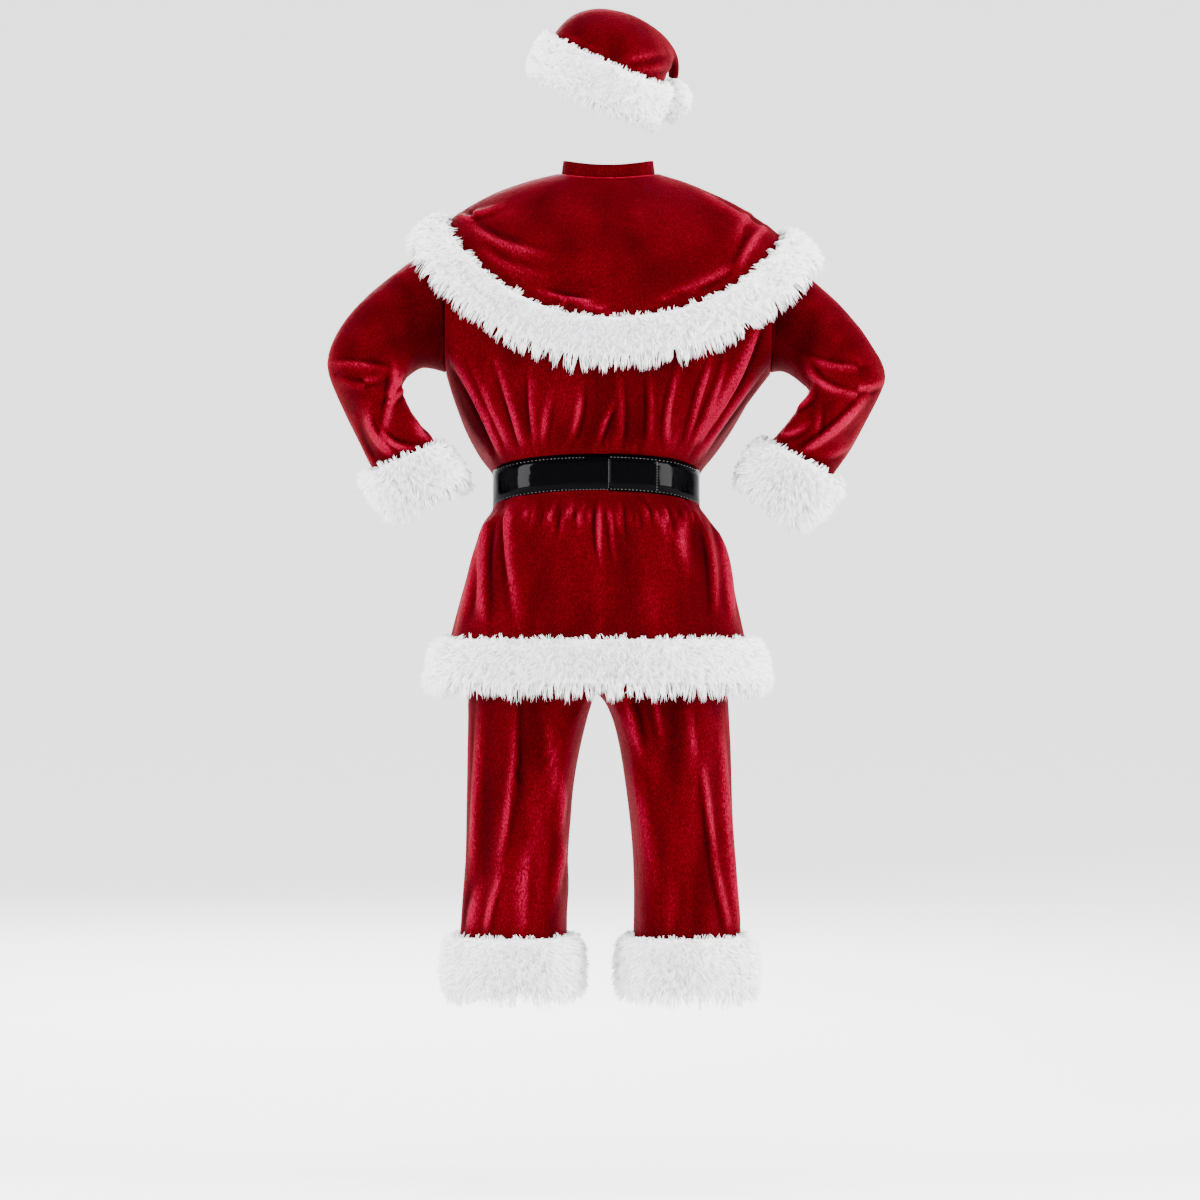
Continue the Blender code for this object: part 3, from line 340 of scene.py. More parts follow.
# Short gathers that the belt presses in below it, and the long flares of the skirt
BELOW_BELT = [
    Crease((0.184, -0.520), (0.193, -0.603), (0.190, -0.700), 0.0080, 0.0085, BACK),
    Crease((0.201, -0.562), (0.213, -0.638), (0.228, -0.700), 0.0080, 0.0050, BACK),
    Crease((0.154, -0.503), (0.165, -0.556), (0.145, -0.709), -0.0070, 0.0055, BACK),
    Crease((0.113, -0.507), (0.118, -0.525), (0.122, -0.547), 0.0045, 0.0034, BACK),
    Crease((0.081, -0.502), (0.088, -0.519), (0.094, -0.538), 0.0045, 0.0034, BACK),
    Crease((0.060, -0.500), (0.059, -0.515), (0.063, -0.535), 0.0040, 0.0030, BACK),
    Crease((0.041, -0.500), (0.040, -0.512), (0.041, -0.523), 0.0036, 0.0024, BACK),
    Crease((0.021, -0.502), (0.025, -0.544), (0.021, -0.597), -0.0045, 0.0050, BACK),
    Crease((0.003, -0.532), (0.004, -0.562), (-0.002, -0.600), -0.0040, 0.0030, BACK),
    Crease((-0.014, -0.502), (-0.015, -0.515), (-0.018, -0.532), 0.0040, 0.0026, BACK),
    Crease((-0.041, -0.503), (-0.053, -0.515), (-0.058, -0.535), 0.0045, 0.0034, BACK),
    Crease((-0.078, -0.507), (-0.085, -0.526), (-0.081, -0.547), 0.0045, 0.0034, BACK),
    Crease((-0.114, -0.515), (-0.099, -0.556), (-0.108, -0.609), -0.0100, 0.0036, BACK),
    Crease((-0.152, -0.520), (-0.171, -0.591), (-0.178, -0.674), -0.0080, 0.0060, BACK),
    Crease((-0.139, -0.544), (-0.150, -0.603), (-0.153, -0.685), -0.0060, 0.0055, BACK),
    Crease((-0.165, -0.556), (-0.181, -0.626), (-0.192, -0.697), 0.0070, 0.0045, BACK),
]


FRONT_NARROWER = 0.95
FRONT_SHIFT = 0.003
FRONT_WIDER_FOLDS = 1.2


def as_front(creases, grow, drop):
    """The front's folds are like the back's, with their own places and sizes."""
    front = []
    for i, c in enumerate(creases):
        start, middle, end = (
            (x * FRONT_NARROWER + FRONT_SHIFT, z - drop) for x, z in (c.start, c.middle, c.end))
        size = grow * (0.75 + 0.25 * (i % 3))
        front.append(Crease(
            start, middle, end, -c.width * FRONT_WIDER_FOLDS, c.lift * size, FRONT))
    return front


# Small gathers all round the waist, one pair every 9.5 mm: upwards from the belt and downwards
GATHER_SEED = 77
GATHER_FROM_X, GATHER_TO_X, GATHER_STEP = -0.135, 0.185, 0.0095
GATHER_STARTS = ((-0.448, 1.0), (-0.512, -1.0))
GATHER_MIDDLE_X = 0.022
BELT_DROP = 0.056
rng = np.random.default_rng(GATHER_SEED)
GATHERS = []
for x0 in np.arange(GATHER_FROM_X, GATHER_TO_X, GATHER_STEP):
    for from_z, way in GATHER_STARTS:
        x = x0 + 0.006 * rng.random()
        z = from_z + 0.010 * way * rng.random()
        run = 0.014 + 0.036 * rng.random() ** 2
        lean = (x - GATHER_MIDDLE_X) * run * 2.5
        GATHERS.append(Crease(
            (x, z), (x + 0.5 * lean + 0.001 * rng.normal(), z + 0.5 * way * run),
            (x + lean, z + way * run), rng.choice((-1.0, 1.0)) * (0.0034 + 0.0014 * rng.random()),
            0.0012 + 0.0018 * rng.random(), BOTH))
COAT_CREASES = [*GATHERS, *ABOVE_BELT, *BELOW_BELT,
                *as_front(ABOVE_BELT, grow=0.9, drop=BELT_DROP),
                *as_front(BELOW_BELT, grow=0.9, drop=BELT_DROP)]
BELT_MIDDLE = (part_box("belt_strap")[0][2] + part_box("belt_strap")[1][2]) / 2.0
BELT_SLOPE = 0.24


def belt_height(points):
    """How far each point is above the belt's middle line, which rises to the back."""
    return points[:, 2] - (BELT_MIDDLE + BELT_SLOPE * points[:, 1])


# Folds start clear of the belt and die out at the yoke, the hem and the side seams
BELT_HALF = 0.031
BELT_FADE = 0.030
YOKE_Z, YOKE_FADE = -0.20, 0.06
HEM_Z, HEM_FADE = -0.715, 0.05
SIDE_FADE = 0.14
COAT_RIPPLE = 0.0016
SEAM_TURN = 0.0022
SEAM_UNDER = 0.0006


def fold_coat(obj):
    points = points_of(obj)
    outward = outward_round(coat_middle)(points)
    above = belt_height(points)
    off_belt = np.clip((np.abs(above) - BELT_HALF) / BELT_FADE, 0.0, 1.0)
    lift = crease_height(points, COAT_CREASES, outward[:, 1])
    lift += COAT_RIPPLE * streaky(points, across=0.045, along=0.16, seed=3)
    yoke = np.clip((points[:, 2] - YOKE_Z) / YOKE_FADE, 0.0, 1.0)
    free = off_belt * (1.0 - 0.9 * yoke)
    seam = np.minimum(np.abs(outward[:, 1]) / SIDE_FADE, 1.0)
    hem = np.clip((points[:, 2] - HEM_Z) / HEM_FADE, 0.0, 1.0)
    lift *= free * seam * (0.15 + 0.85 * hem)
    paint_fold_light(obj, lift)
    points += outward * lift[:, None]
    if "front" in obj.name:
        # The front's edge is turned in behind the back's at the side seam
        turned = np.abs(points[:, 1]) < SEAM_TURN
        points[turned] += np.array([0.0, SEAM_TURN, 0.0]) - SEAM_UNDER * outward[turned]
    set_points(obj, points)


body_velvet = crushed_velvet("crushed_velvet_body")
# Each cut's width, length and area
COAT_CUTS = {
    "coat_back": (0.62, 0.80, 0.46),
    "coat_front_left": (0.32, 0.80, 0.235),
    "coat_front_right": (0.32, 0.80, 0.235),
}
COAT_EDGE_DEG = 50.0
FINE_LOW, FINE_HIGH = (-0.26, 0.0, -0.61), (0.28, 0.25, -0.29)
for node in COAT_CUTS:
    panel = rounded_copy(node, node + "_cloth", levels=2, keep_deg=COAT_EDGE_DEG)
    if node == "coat_back":
        refine(panel, FINE_LOW, FINE_HIGH, outward_y=1.0)
    fold_coat(panel)
    dressed(panel, body_velvet, node)

collar = rounded_copy("collar", "collar_cloth", levels=2)
dressed(collar, body_velvet, "collar")


def fur_material():
    """Polyester fur: fine white fibres that let light through, with painted shade that greys them
    a little in the depth of the fur.
    """
    m = new_material("white_faux_fur")
    depth = add(m, "ShaderNodeAttribute", attribute_name="tip").outputs["Fac"]
    place = add(m, "ShaderNodeTexCoord").outputs["Object"]
    tone = add(m, "ShaderNodeTexNoise", {"Vector": place, "Scale": 55.0, "Detail": 2.0})
    mixed = add(m, "ShaderNodeMath", {0: tone.outputs["Fac"], 1: 0.30, 2: depth},
                operation="MULTIPLY_ADD")
    colour = colour_ramp(m, mixed.outputs[0], [
        (0.28, "#CFD1D7"), (0.60, "#F0F0F3"), (0.9, "#FEFEFE")])
    shader = add(m, "ShaderNodeBsdfPrincipled", {
        "Base Color": colour, "Roughness": 0.8, "Specular IOR Level": 0.2,
        "Sheen Weight": 0.3, "Sheen Roughness": 0.5})
    return finish_material(m, shader)


white_fur = fur_material()
# Real fibres are 0.03 mm thick. They are drawn as locks 1.6 mm thick so that they show.
LOCK_SIDES = 3
LOCK_RADIUS = 0.0008
LOCKS_IN_CLUMP = 7
# How deep in the fur each place is, from 0 to 1 at the tips: the material paints shade that greys
# the deeper places, and the tips stay palest
ROOT_SHADE_TONE, PILE_SHADE_TONE, MIDDLE_SHADE_TONE, TIP_SHADE_TONE = 0.25, 0.30, 0.70, 1.0
POMPOM_PILE = 0.80
SEWN_DOWN = 0.003
ROOT_CLEAR = 0.0035
PILE_CLEAR = 0.0010
PILE_SINK = 0.34
FLAT_BY_FUR = 0.020


def near_cloth(nodes):
    """Looks up the nearest cloth under the fur."""
    trees = []
    for node in nodes:
        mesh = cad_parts[node].data
        trees.append(BVHTree.FromPolygons(
            [v.co for v in mesh.vertices], [p.vertices for p in mesh.polygons]))
    def nearest(point):
        hits = [tree.find_nearest(point) for tree in trees]
        return min(hits, key=lambda hit: hit[3])
    return nearest


def clear_of_fur(points, node):
    """0 under a fur band and 1 from 20 mm away: folds lie flat where the fur is sewn on."""
    nearest = near_cloth([node])
    return np.array([min(1.0, nearest(Vector(p))[3] / FLAT_BY_FUR) for p in points])


def under_fur(node, name, nearest):
    """The dense pile: the CAD fur's own form, drawn in towards the cloth."""
    pile = rounded_copy(node, name, levels=1, keep_deg=SMOOTH_CUT)
    points = points_of(pile)
    for i, point in enumerate(points):
        hit = nearest(Vector(point))
        away = Vector(point) - hit[0]
        if hit[3] > SEWN_DOWN:
            points[i] = hit[0] + away * (1.0 - PILE_SINK)
        elif away.dot(hit[1]) < PILE_CLEAR:
            points[i] = hit[0] + hit[1] * PILE_CLEAR
    set_points(pile, points)
    return pile


def sample_surface(obj, count, rng):
    """Points spread over a mesh by area, with their normals."""
    mesh = obj.data
    mesh.calc_loop_triangles()
    corners = np.empty(len(mesh.loop_triangles) * 3, dtype=int)
    mesh.loop_triangles.foreach_get("vertices", corners)
    corners = corners.reshape(-1, 3)
    at = points_of(obj)
    normals = np.empty(len(mesh.vertices) * 3)
    mesh.vertices.foreach_get("normal", normals)
    normals = normals.reshape(-1, 3)
    a, b, c = (at[corners[:, k]] for k in range(3))
    area = np.linalg.norm(np.cross(b - a, c - a), axis=1) / 2.0
    pick = rng.choice(len(corners), count, p=area / area.sum())
    u, v = rng.random(count), rng.random(count)
    over = u + v > 1.0
    u[over], v[over] = 1.0 - u[over], 1.0 - v[over]
    w = 1.0 - u - v
    mix = [w[:, None], u[:, None], v[:, None]]
    points = sum(m * at[corners[pick, k]] for k, m in enumerate(mix))
    facing = sum(m * normals[corners[pick, k]] for k, m in enumerate(mix))
    return points, facing / np.linalg.norm(facing, axis=1)[:, None]


def unit(vectors):
    return vectors / np.maximum(np.linalg.norm(vectors, axis=1), 1e-9)[:, None]


def fur_locks(name, pile, nearest, count, length, droop, clump, rng):
    """Tapered locks that stand in the pile. Each is three-sided and bends over by droop; those
    near one another lean to a shared tip."""
    roots, facing = sample_surface(pile, int(count * 1.25), rng)
    keep = np.array([nearest(Vector(p))[3] > ROOT_CLEAR for p in roots])
    roots, facing = roots[keep][:count], facing[keep][:count]
    n = len(roots)
    down = np.array([0.0, 0.0, -1.0])
    upward = facing[:, 2]
    size = length * (0.70 + 0.5 * rng.random(n))
    size *= 1.0 - 0.5 * np.clip(upward, 0.0, 1.0) + 0.45 * np.clip(-upward, 0.0, 1.0)
    lean = unit(facing + 0.35 * rng.normal(size=(n, 3)) + droop * down)
    tips = roots + lean * size[:, None]
    seeds = rng.choice(n, max(8, int(n / LOCKS_IN_CLUMP)), replace=False)
    order = np.zeros(n, dtype=int)
    for start in range(0, n, 2000):
        part = roots[start : start + 2000]
        gap = ((part[:, None, :] - roots[seeds][None, :, :]) ** 2).sum(axis=2)
        order[start : start + 2000] = gap.argmin(axis=1)
    shared = roots[seeds] + unit(facing[seeds] + 0.25 * rng.normal(size=(len(seeds), 3))
                                 + droop * down) * (size[seeds] * 1.12)[:, None]
    tips = tips * (1.0 - clump) + shared[order] * clump
    middle = (roots * 0.5 + tips * 0.5) + facing * (size * 0.14)[:, None]
    run = unit(tips - roots)
    aside = unit(np.cross(run, rng.normal(size=(n, 3))))
    other = np.cross(run, aside)
    rings = []
    for centre, share in ((roots, 1.0), (middle, 0.72)):
        for k in range(LOCK_SIDES):
            turn = 2.0 * math.pi * k / LOCK_SIDES
            ring = aside * math.cos(turn) + other * math.sin(turn)
            rings.append(centre + ring * (LOCK_RADIUS * share * (0.7 + 0.6 * rng.random((n, 1)))))
    verts = np.stack([*rings, tips], axis=1)
    step = verts.shape[1]
    faces = []
    for k in range(LOCK_SIDES):
        j = (k + 1) % LOCK_SIDES
        faces += [(k, j, LOCK_SIDES + j), (k, LOCK_SIDES + j, LOCK_SIDES + k),
                  (LOCK_SIDES + k, LOCK_SIDES + j, 2 * LOCK_SIDES)]
    faces = np.array(faces)
    every = (faces[None, :, :] + np.arange(n)[:, None, None] * step).reshape(-1, 3)
    mesh = bpy.data.meshes.new(name)
    mesh.vertices.add(n * step)
    mesh.vertices.foreach_set("co", verts.reshape(-1))
    mesh.loops.add(len(every) * 3)
    mesh.loops.foreach_set("vertex_index", every.reshape(-1))
    mesh.polygons.add(len(every))
    mesh.polygons.foreach_set("loop_start", np.arange(len(every)) * 3)
    mesh.update(calc_edges=True)
    # Painted shade along each lock: grey at the root, palest at the tip
    tip = mesh.attributes.new("tip", "FLOAT", "POINT")
    tip.data.foreach_set("value", np.tile(
        [ROOT_SHADE_TONE] * LOCK_SIDES + [MIDDLE_SHADE_TONE] * LOCK_SIDES + [TIP_SHADE_TONE], n))
    # Shaded mostly as the band beneath, so that the fur is soft and not flickering
    mesh.shade_smooth()
    own = np.empty(n * step * 3)
    mesh.vertices.foreach_get("normal", own)
    soft = unit(0.60 * np.repeat(facing, step, axis=0) + 0.40 * own.reshape(-1, 3))
    mesh.normals_split_custom_set_from_vertices(soft)
    obj = bpy.data.objects.new(name, mesh)
    bpy.context.scene.collection.objects.link(obj)
    return obj


def fur_trim(node, cloth, count, length, droop, clump, seed):
    """A band's dense pile and its loose locks, which stand for one CAD node."""
    rng = np.random.default_rng(seed)
    nearest = near_cloth(cloth)
    if node == "hat_pompom":
        low, high = (np.array(corner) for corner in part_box(node))
        centre = (low + high) / 2.0
        pile = rounded_copy(node, node + "_pile", levels=1, keep_deg=SMOOTH_CUT)
        set_points(pile, centre + (points_of(pile) - centre) * POMPOM_PILE)
    else:
        pile = under_fur(node, node + "_pile", nearest)
    # Painted shade: the dense pile is greyed as deep in the fur
    under = pile.data.attributes.new("tip", "FLOAT", "POINT")
    under.data.foreach_set("value", np.full(len(pile.data.vertices), PILE_SHADE_TONE))
    dressed(pile, white_fur, node)
    locks = fur_locks(node + "_locks", pile, nearest, count, length, droop, clump, rng)
    locks.data.materials.append(white_fur)
    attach(locks, "root")
    return [pile, locks]


hem_trim = fur_trim("hem_fur", list(COAT_CUTS), count=18000, length=0.020, droop=0.55,
                    clump=0.52, seed=501)

# Sleeves
# One velvet tube each, sewn into the armhole and gathered into a fur cuff. The bent elbow
# crumples the cloth inside the bend.
SLEEVE_LINES = {
    "left": [(0.258, 0.000, -0.202), (0.318, 0.028, -0.225), (0.372, 0.078, -0.280),
             (0.382, 0.102, -0.320), (0.358, 0.092, -0.372), (0.322, 0.056, -0.435),
             (0.284, 0.036, -0.490)],
    "right": [(-0.246, 0.000, -0.210), (-0.294, 0.028, -0.236), (-0.346, 0.078, -0.290),
              (-0.360, 0.102, -0.335), (-0.332, 0.092, -0.378), (-0.292, 0.056, -0.440),
              (-0.248, 0.036, -0.496)],
}


def outward_line(line):
    """Directions away from the nearest place on a bent middle line."""
    path = np.array(line)
    def outward(points):
        best = np.full(len(points), FAR)
        away = np.zeros_like(points)
        for start, end in zip(path, path[1:]):
            run = end - start
            t = np.clip((points - start) @ run / (run @ run), 0.0, 1.0)
            off = points - (start + t[:, None] * run)
            far = np.linalg.norm(off, axis=1)
            nearer = far < best
            best[nearer] = far[nearer]
            away[nearer] = off[nearer]
        return away / np.maximum(np.linalg.norm(away, axis=1), 1e-6)[:, None]
    return outward


# Creases as seen from behind: sharp folds that radiate from the inside of the elbow, and long
# curved ones down the forearm
SLEEVE_BACK = {
    "left": [
        Crease((0.437, -0.290), (0.384, -0.294), (0.340, -0.301), 0.0060, 0.0046, BACK),
        Crease((0.419, -0.315), (0.378, -0.326), (0.344, -0.315), 0.0060, 0.0034, BACK),
        Crease((0.339, -0.299), (0.342, -0.344), (0.354, -0.396), -0.0060, 0.0070, BACK),
        Crease((0.316, -0.305), (0.327, -0.329), (0.346, -0.348), 0.0050, 0.0048, BACK),
        Crease((0.311, -0.323), (0.325, -0.345), (0.345, -0.368), 0.0050, 0.0048, BACK),
        Crease((0.354, -0.391), (0.325, -0.417), (0.273, -0.420), 0.0060, 0.0070, BACK),
        Crease((0.369, -0.367), (0.353, -0.410), (0.299, -0.454), 0.0065, 0.0066, BACK),
        Crease((0.390, -0.379), (0.372, -0.435), (0.328, -0.464), 0.0070, 0.0036, BACK),
        Crease((0.299, -0.376), (0.291, -0.398), (0.271, -0.414), 0.0060, 0.0050, BACK),
        Crease((0.257, -0.185), (0.260, -0.238), (0.269, -0.291), -0.0030, 0.0022, BACK),
    ],
    "right": [
        Crease((-0.302, -0.288), (-0.323, -0.321), (-0.358, -0.336), 0.0060, 0.0060, BACK),
        Crease((-0.358, -0.336), (-0.389, -0.337), (-0.422, -0.323), 0.0060, 0.0046, BACK),
        Crease((-0.296, -0.278), (-0.340, -0.295), (-0.385, -0.297), 0.0060, 0.0036, BACK),
        Crease((-0.312, -0.332), (-0.299, -0.356), (-0.270, -0.368), 0.0050, 0.0048, BACK),
        Crease((-0.320, -0.363), (-0.319, -0.384), (-0.316, -0.404), 0.0050, 0.0036, BACK),
        Crease((-0.384, -0.341), (-0.336, -0.391), (-0.271, -0.437), -0.0065, 0.0070, BACK),
        Crease((-0.299, -0.391), (-0.276, -0.405), (-0.245, -0.404), 0.0055, 0.0046, BACK),
        Crease((-0.247, -0.407), (-0.269, -0.427), (-0.278, -0.447), 0.0055, 0.0054, BACK),
        Crease((-0.406, -0.367), (-0.372, -0.420), (-0.317, -0.440), 0.0070, 0.0036, BACK),
        Crease((-0.251, -0.185), (-0.250, -0.238), (-0.247, -0.291), 0.0030, 0.0022, BACK),
    ],
}


ARMHOLE_FADE = 0.03
EDGE_SHARE = 0.30
SLEEVE_EDGE_TURN = 0.45
DEEPEST_HOLLOW, HIGHEST_RIDGE = -0.0040, 0.0050
SLEEVE_RIPPLE = 0.0014
sleeve_velvet = crushed_velvet("crushed_velvet_sleeve", lay=(0.6, 0.6, 0.6))
for seed, side in enumerate(("left", "right")):
    node = f"sleeve_{side}"
    sleeve = rounded_copy(node, node + "_cloth", levels=3)
    points = points_of(sleeve)
    outward = outward_line(SLEEVE_LINES[side])(points)
    table = SLEEVE_BACK[side]
    folds = [*table, *as_front(table, grow=0.9, drop=0.008)]
    lift = crease_height(points, folds, outward[:, 1])
    lift += SLEEVE_RIPPLE * streaky(points, across=0.030, along=0.040, seed=40 + seed)
    armhole_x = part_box(node)[0][0] if side == "left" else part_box(node)[1][0]
    lift *= np.clip(np.abs(points[:, 0] - armhole_x) / ARMHOLE_FADE, 0.0, 1.0)
    facing = np.minimum(np.abs(outward[:, 1]) / SLEEVE_EDGE_TURN, 1.0)
    lift *= EDGE_SHARE + (1.0 - EDGE_SHARE) * facing
    lift = np.clip(lift, DEEPEST_HOLLOW, HIGHEST_RIDGE)
    lift *= clear_of_fur(points, f"sleeve_cuff_{side}")
    paint_fold_light(sleeve, lift)
    set_points(sleeve, points + outward * lift[:, None])
    dressed(sleeve, sleeve_velvet, node)
    trim = fur_trim(f"sleeve_cuff_{side}", [node], count=6500, length=0.017, droop=0.35,
                    clump=0.62, seed=510 + seed)

# Cape
# A shaped shoulder cape of the same velvet that lies over the coat's shoulders, open in front.
CAPE_CREASES = [
    Crease((0.216, -0.070), (0.172, -0.102), (0.101, -0.123), 0.0080, 0.0050, BACK),
    Crease((0.198, -0.108), (0.160, -0.139), (0.098, -0.155), 0.0080, 0.0030, BACK),
    Crease((0.106, -0.184), (0.054, -0.197), (-0.005, -0.221), 0.0050, 0.0062, BACK),
    Crease((0.090, -0.204), (0.045, -0.204), (0.002, -0.219), -0.0040, 0.0040, BACK),
    Crease((-0.236, -0.073), (-0.211, -0.102), (-0.186, -0.151), -0.0070, 0.0052, BACK),
    Crease((-0.186, -0.151), (-0.153, -0.168), (-0.114, -0.192), 0.0060, 0.0042, BACK),
    Crease((-0.140, -0.023), (-0.181, -0.049), (-0.249, -0.089), 0.0070, 0.0044, BACK),
    Crease((0.237, -0.051), (0.213, -0.063), (0.169, -0.053), 0.0060, 0.0044, BACK),
    Crease((-0.228, -0.049), (-0.205, -0.079), (-0.193, -0.114), 0.0080, 0.0030, BACK),
    Crease((-0.052, -0.214), (-0.099, -0.191), (-0.140, -0.168), 0.0050, 0.0030, BACK),
    Crease((0.190, -0.120), (0.160, -0.085), (0.120, -0.060), 0.0080, 0.0040, FRONT),
    Crease((-0.200, -0.130), (-0.160, -0.095), (-0.110, -0.070), -0.0080, 0.0040, FRONT),
    Crease((0.080, -0.210), (0.075, -0.160), (0.060, -0.100), 0.0090, 0.0035, FRONT),
    Crease((-0.080, -0.210), (-0.075, -0.160), (-0.060, -0.100), -0.0090, 0.0035, FRONT),
]
CAPE_CENTRE = np.array([YOKE_MIDDLE_X, 0.0, -0.30])
CAPE_RIPPLE = 0.0014
NECK_RADIUS, NECK_FADE = 0.085, 0.03
cape = rounded_copy("cape", "cape_cloth", levels=3)
points = points_of(cape)
outward = points - CAPE_CENTRE
outward /= np.linalg.norm(outward, axis=1)[:, None]
lift = crease_height(points, CAPE_CREASES, points[:, 1] / 0.1)
lift += CAPE_RIPPLE * streaky(points, across=0.050, along=0.070, seed=71)
radius = np.hypot(points[:, 0] - YOKE_MIDDLE_X, points[:, 1])
lift *= np.clip((radius - NECK_RADIUS) / NECK_FADE, 0.0, 1.0) * clear_of_fur(points, "cape_fur")
paint_fold_light(cape, lift)
set_points(cape, points + outward * lift[:, None])
dressed(cape, sleeve_velvet, "cape")
cape_trim = fur_trim("cape_fur", ["cape"], count=17000, length=0.020, droop=0.60,
                     clump=0.54, seed=520)

# Trousers
# Two velvet legs joined at the seat, held up by an elastic casing under the belt. They fall in
# long soft folds to fur cuffs.
LEG_LEFT_CREASES = [
    Crease((0.208, -0.812), (0.215, -0.951), (0.221, -1.076), -0.0070, 0.0046, BACK),
    Crease((0.146, -0.812), (0.149, -0.928), (0.171, -1.068), 0.0070, 0.0058, BACK),
    Crease((0.166, -1.073), (0.183, -1.130), (0.190, -1.177), 0.0060, 0.0050, BACK),
    Crease((0.208, -1.091), (0.221, -1.138), (0.227, -1.185), -0.0090, 0.0058, BACK),
    Crease((0.075, -0.928), (0.072, -0.967), (0.078, -1.014), 0.0060, 0.0044, BACK),
    Crease((0.068, -1.029), (0.076, -1.076), (0.089, -1.130), 0.0070, 0.0050, BACK),
    Crease((0.112, -0.819), (0.099, -0.905), (0.103, -0.967), -0.0090, 0.0030, BACK),
    Crease((0.120, -1.029), (0.131, -1.107), (0.124, -1.185), 0.0100, 0.0030, BACK),
]
LEG_RIGHT_CREASES = [
    Crease((-0.031, -0.796), (-0.037, -0.843), (-0.056, -0.905), 0.0080, 0.0050, BACK),
    Crease((-0.056, -0.796), (-0.065, -0.835), (-0.075, -0.881), -0.0060, 0.0036, BACK),
    Crease((-0.044, -0.920), (-0.059, -0.998), (-0.081, -1.122), 0.0120, 0.0032, BACK),
    Crease((-0.134, -0.905), (-0.145, -0.990), (-0.159, -1.091), -0.0060, 0.0062, BACK),
    Crease((-0.155, -1.068), (-0.166, -1.122), (-0.179, -1.177), -0.0060, 0.0058, BACK),
    Crease((-0.171, -0.843), (-0.185, -1.014), (-0.201, -1.185), 0.0070, 0.0062, BACK),
    Crease((-0.121, -0.812), (-0.127, -0.858), (-0.132, -0.913), 0.0070, 0.0034, BACK),
    Crease((-0.093, -1.060), (-0.099, -1.122), (-0.093, -1.181), 0.0100, 0.0030, BACK),
]
# A leg's middle line runs from at_crotch to at_cuff over the thigh
THIGH_TOP, THIGH_RUN = -0.78, 0.25
UNDER_COAT_Z, UNDER_COAT_FADE = -0.76, 0.04
LEG_EDGE_TURN = 0.30
LEG_RIPPLE = 0.0020
for seed, (side, table, at_crotch, at_cuff) in enumerate((
        ("left", LEG_LEFT_CREASES, 0.110, 0.151), ("right", LEG_RIGHT_CREASES, -0.070, -0.114))):
    node = f"trouser_leg_{side}"
    leg = rounded_copy(node, node + "_cloth", levels=2)
    points = points_of(leg)
    line = outward_round(
        lambda z: at_crotch
        + (at_cuff - at_crotch) * np.clip((THIGH_TOP - z) / THIGH_RUN, 0.0, 1.0))
    outward = line(points)
    folds = [*table, *as_front(table, grow=0.8, drop=0.02)]
    lift = crease_height(points, folds, outward[:, 1])
    lift += LEG_RIPPLE * streaky(points, across=0.035, along=0.20, seed=80 + seed)
    lift *= np.clip((UNDER_COAT_Z - points[:, 2]) / UNDER_COAT_FADE, 0.0, 1.0)
    facing = np.minimum(np.abs(outward[:, 1]) / LEG_EDGE_TURN, 1.0)
    lift *= EDGE_SHARE + (1.0 - EDGE_SHARE) * facing
    lift *= clear_of_fur(points, f"leg_cuff_{side}")
    paint_fold_light(leg, lift)
    set_points(leg, points + outward * lift[:, None])
    dressed(leg, body_velvet, node)
    trim = fur_trim(f"leg_cuff_{side}", [node], count=9000, length=0.018, droop=0.50,
                    clump=0.50, seed=530 + seed)

waistband = rounded_copy("waistband", "waistband_cloth", levels=1)
dressed(waistband, body_velvet, "waistband")

# Hat
# A velvet cap whose long tail folds down over its -X side.
hat = rounded_copy("hat_crown", "hat_crown_cloth", levels=2)
HAT_CREASES = [
    Crease((-0.046, 0.116), (-0.066, 0.119), (-0.086, 0.124), 0.0040, 0.0040, BOTH),
    Crease((-0.040, 0.128), (-0.064, 0.131), (-0.088, 0.138), 0.0040, 0.0042, BOTH),
    Crease((-0.034, 0.141), (-0.062, 0.145), (-0.090, 0.153), 0.0045, 0.0044, BOTH),
    Crease((-0.026, 0.154), (-0.058, 0.159), (-0.090, 0.169), 0.0050, 0.0040, BOTH),
    Crease((-0.018, 0.170), (-0.052, 0.178), (-0.086, 0.192), 0.0060, 0.0034, BOTH),
    Crease((0.062, 0.212), (0.070, 0.220), (0.078, 0.230), 0.0040, 0.0028, BOTH),
    Crease((0.046, 0.200), (0.056, 0.212), (0.064, 0.224), 0.0036, 0.0030, BOTH),
    Crease((0.034, 0.192), (0.044, 0.201), (0.052, 0.211), 0.0034, 0.0028, BOTH),
    Crease((0.022, 0.186), (0.030, 0.195), (0.036, 0.204), 0.0034, 0.0028, BOTH),
    Crease((0.010, 0.180), (0.016, 0.188), (0.020, 0.196), 0.0034, 0.0026, BOTH),
    Crease((0.000, 0.176), (0.004, 0.182), (0.006, 0.188), 0.0034, 0.0024, BOTH),
]
HAT_CENTRE = np.array([0.010, -0.010, 0.165])
HAT_RIPPLE = 0.0012
points = points_of(hat)
outward = points - HAT_CENTRE
outward /= np.linalg.norm(outward, axis=1)[:, None]
lift = crease_height(points, HAT_CREASES, outward[:, 1])
lift += HAT_RIPPLE * streaky(points, across=0.040, along=0.040, seed=91)
lift *= clear_of_fur(points, "hat_band")
paint_fold_light(hat, lift)
set_points(hat, points + outward * lift[:, None])
dressed(hat, sleeve_velvet, "hat_crown")
band = fur_trim("hat_band", ["hat_crown"], count=7000, length=0.013, droop=0.25,
                clump=0.45, seed=540)
pompom = fur_trim("hat_pompom", ["hat_crown"], count=2400, length=0.013, droop=0.20,
                  clump=0.50, seed=541)

# Belt
# A glossy black patent strap with pale stitching along both edges, closed at the back by
# hook-and-loop tape where its end laps over. A plain brass-coloured buckle sits in front.


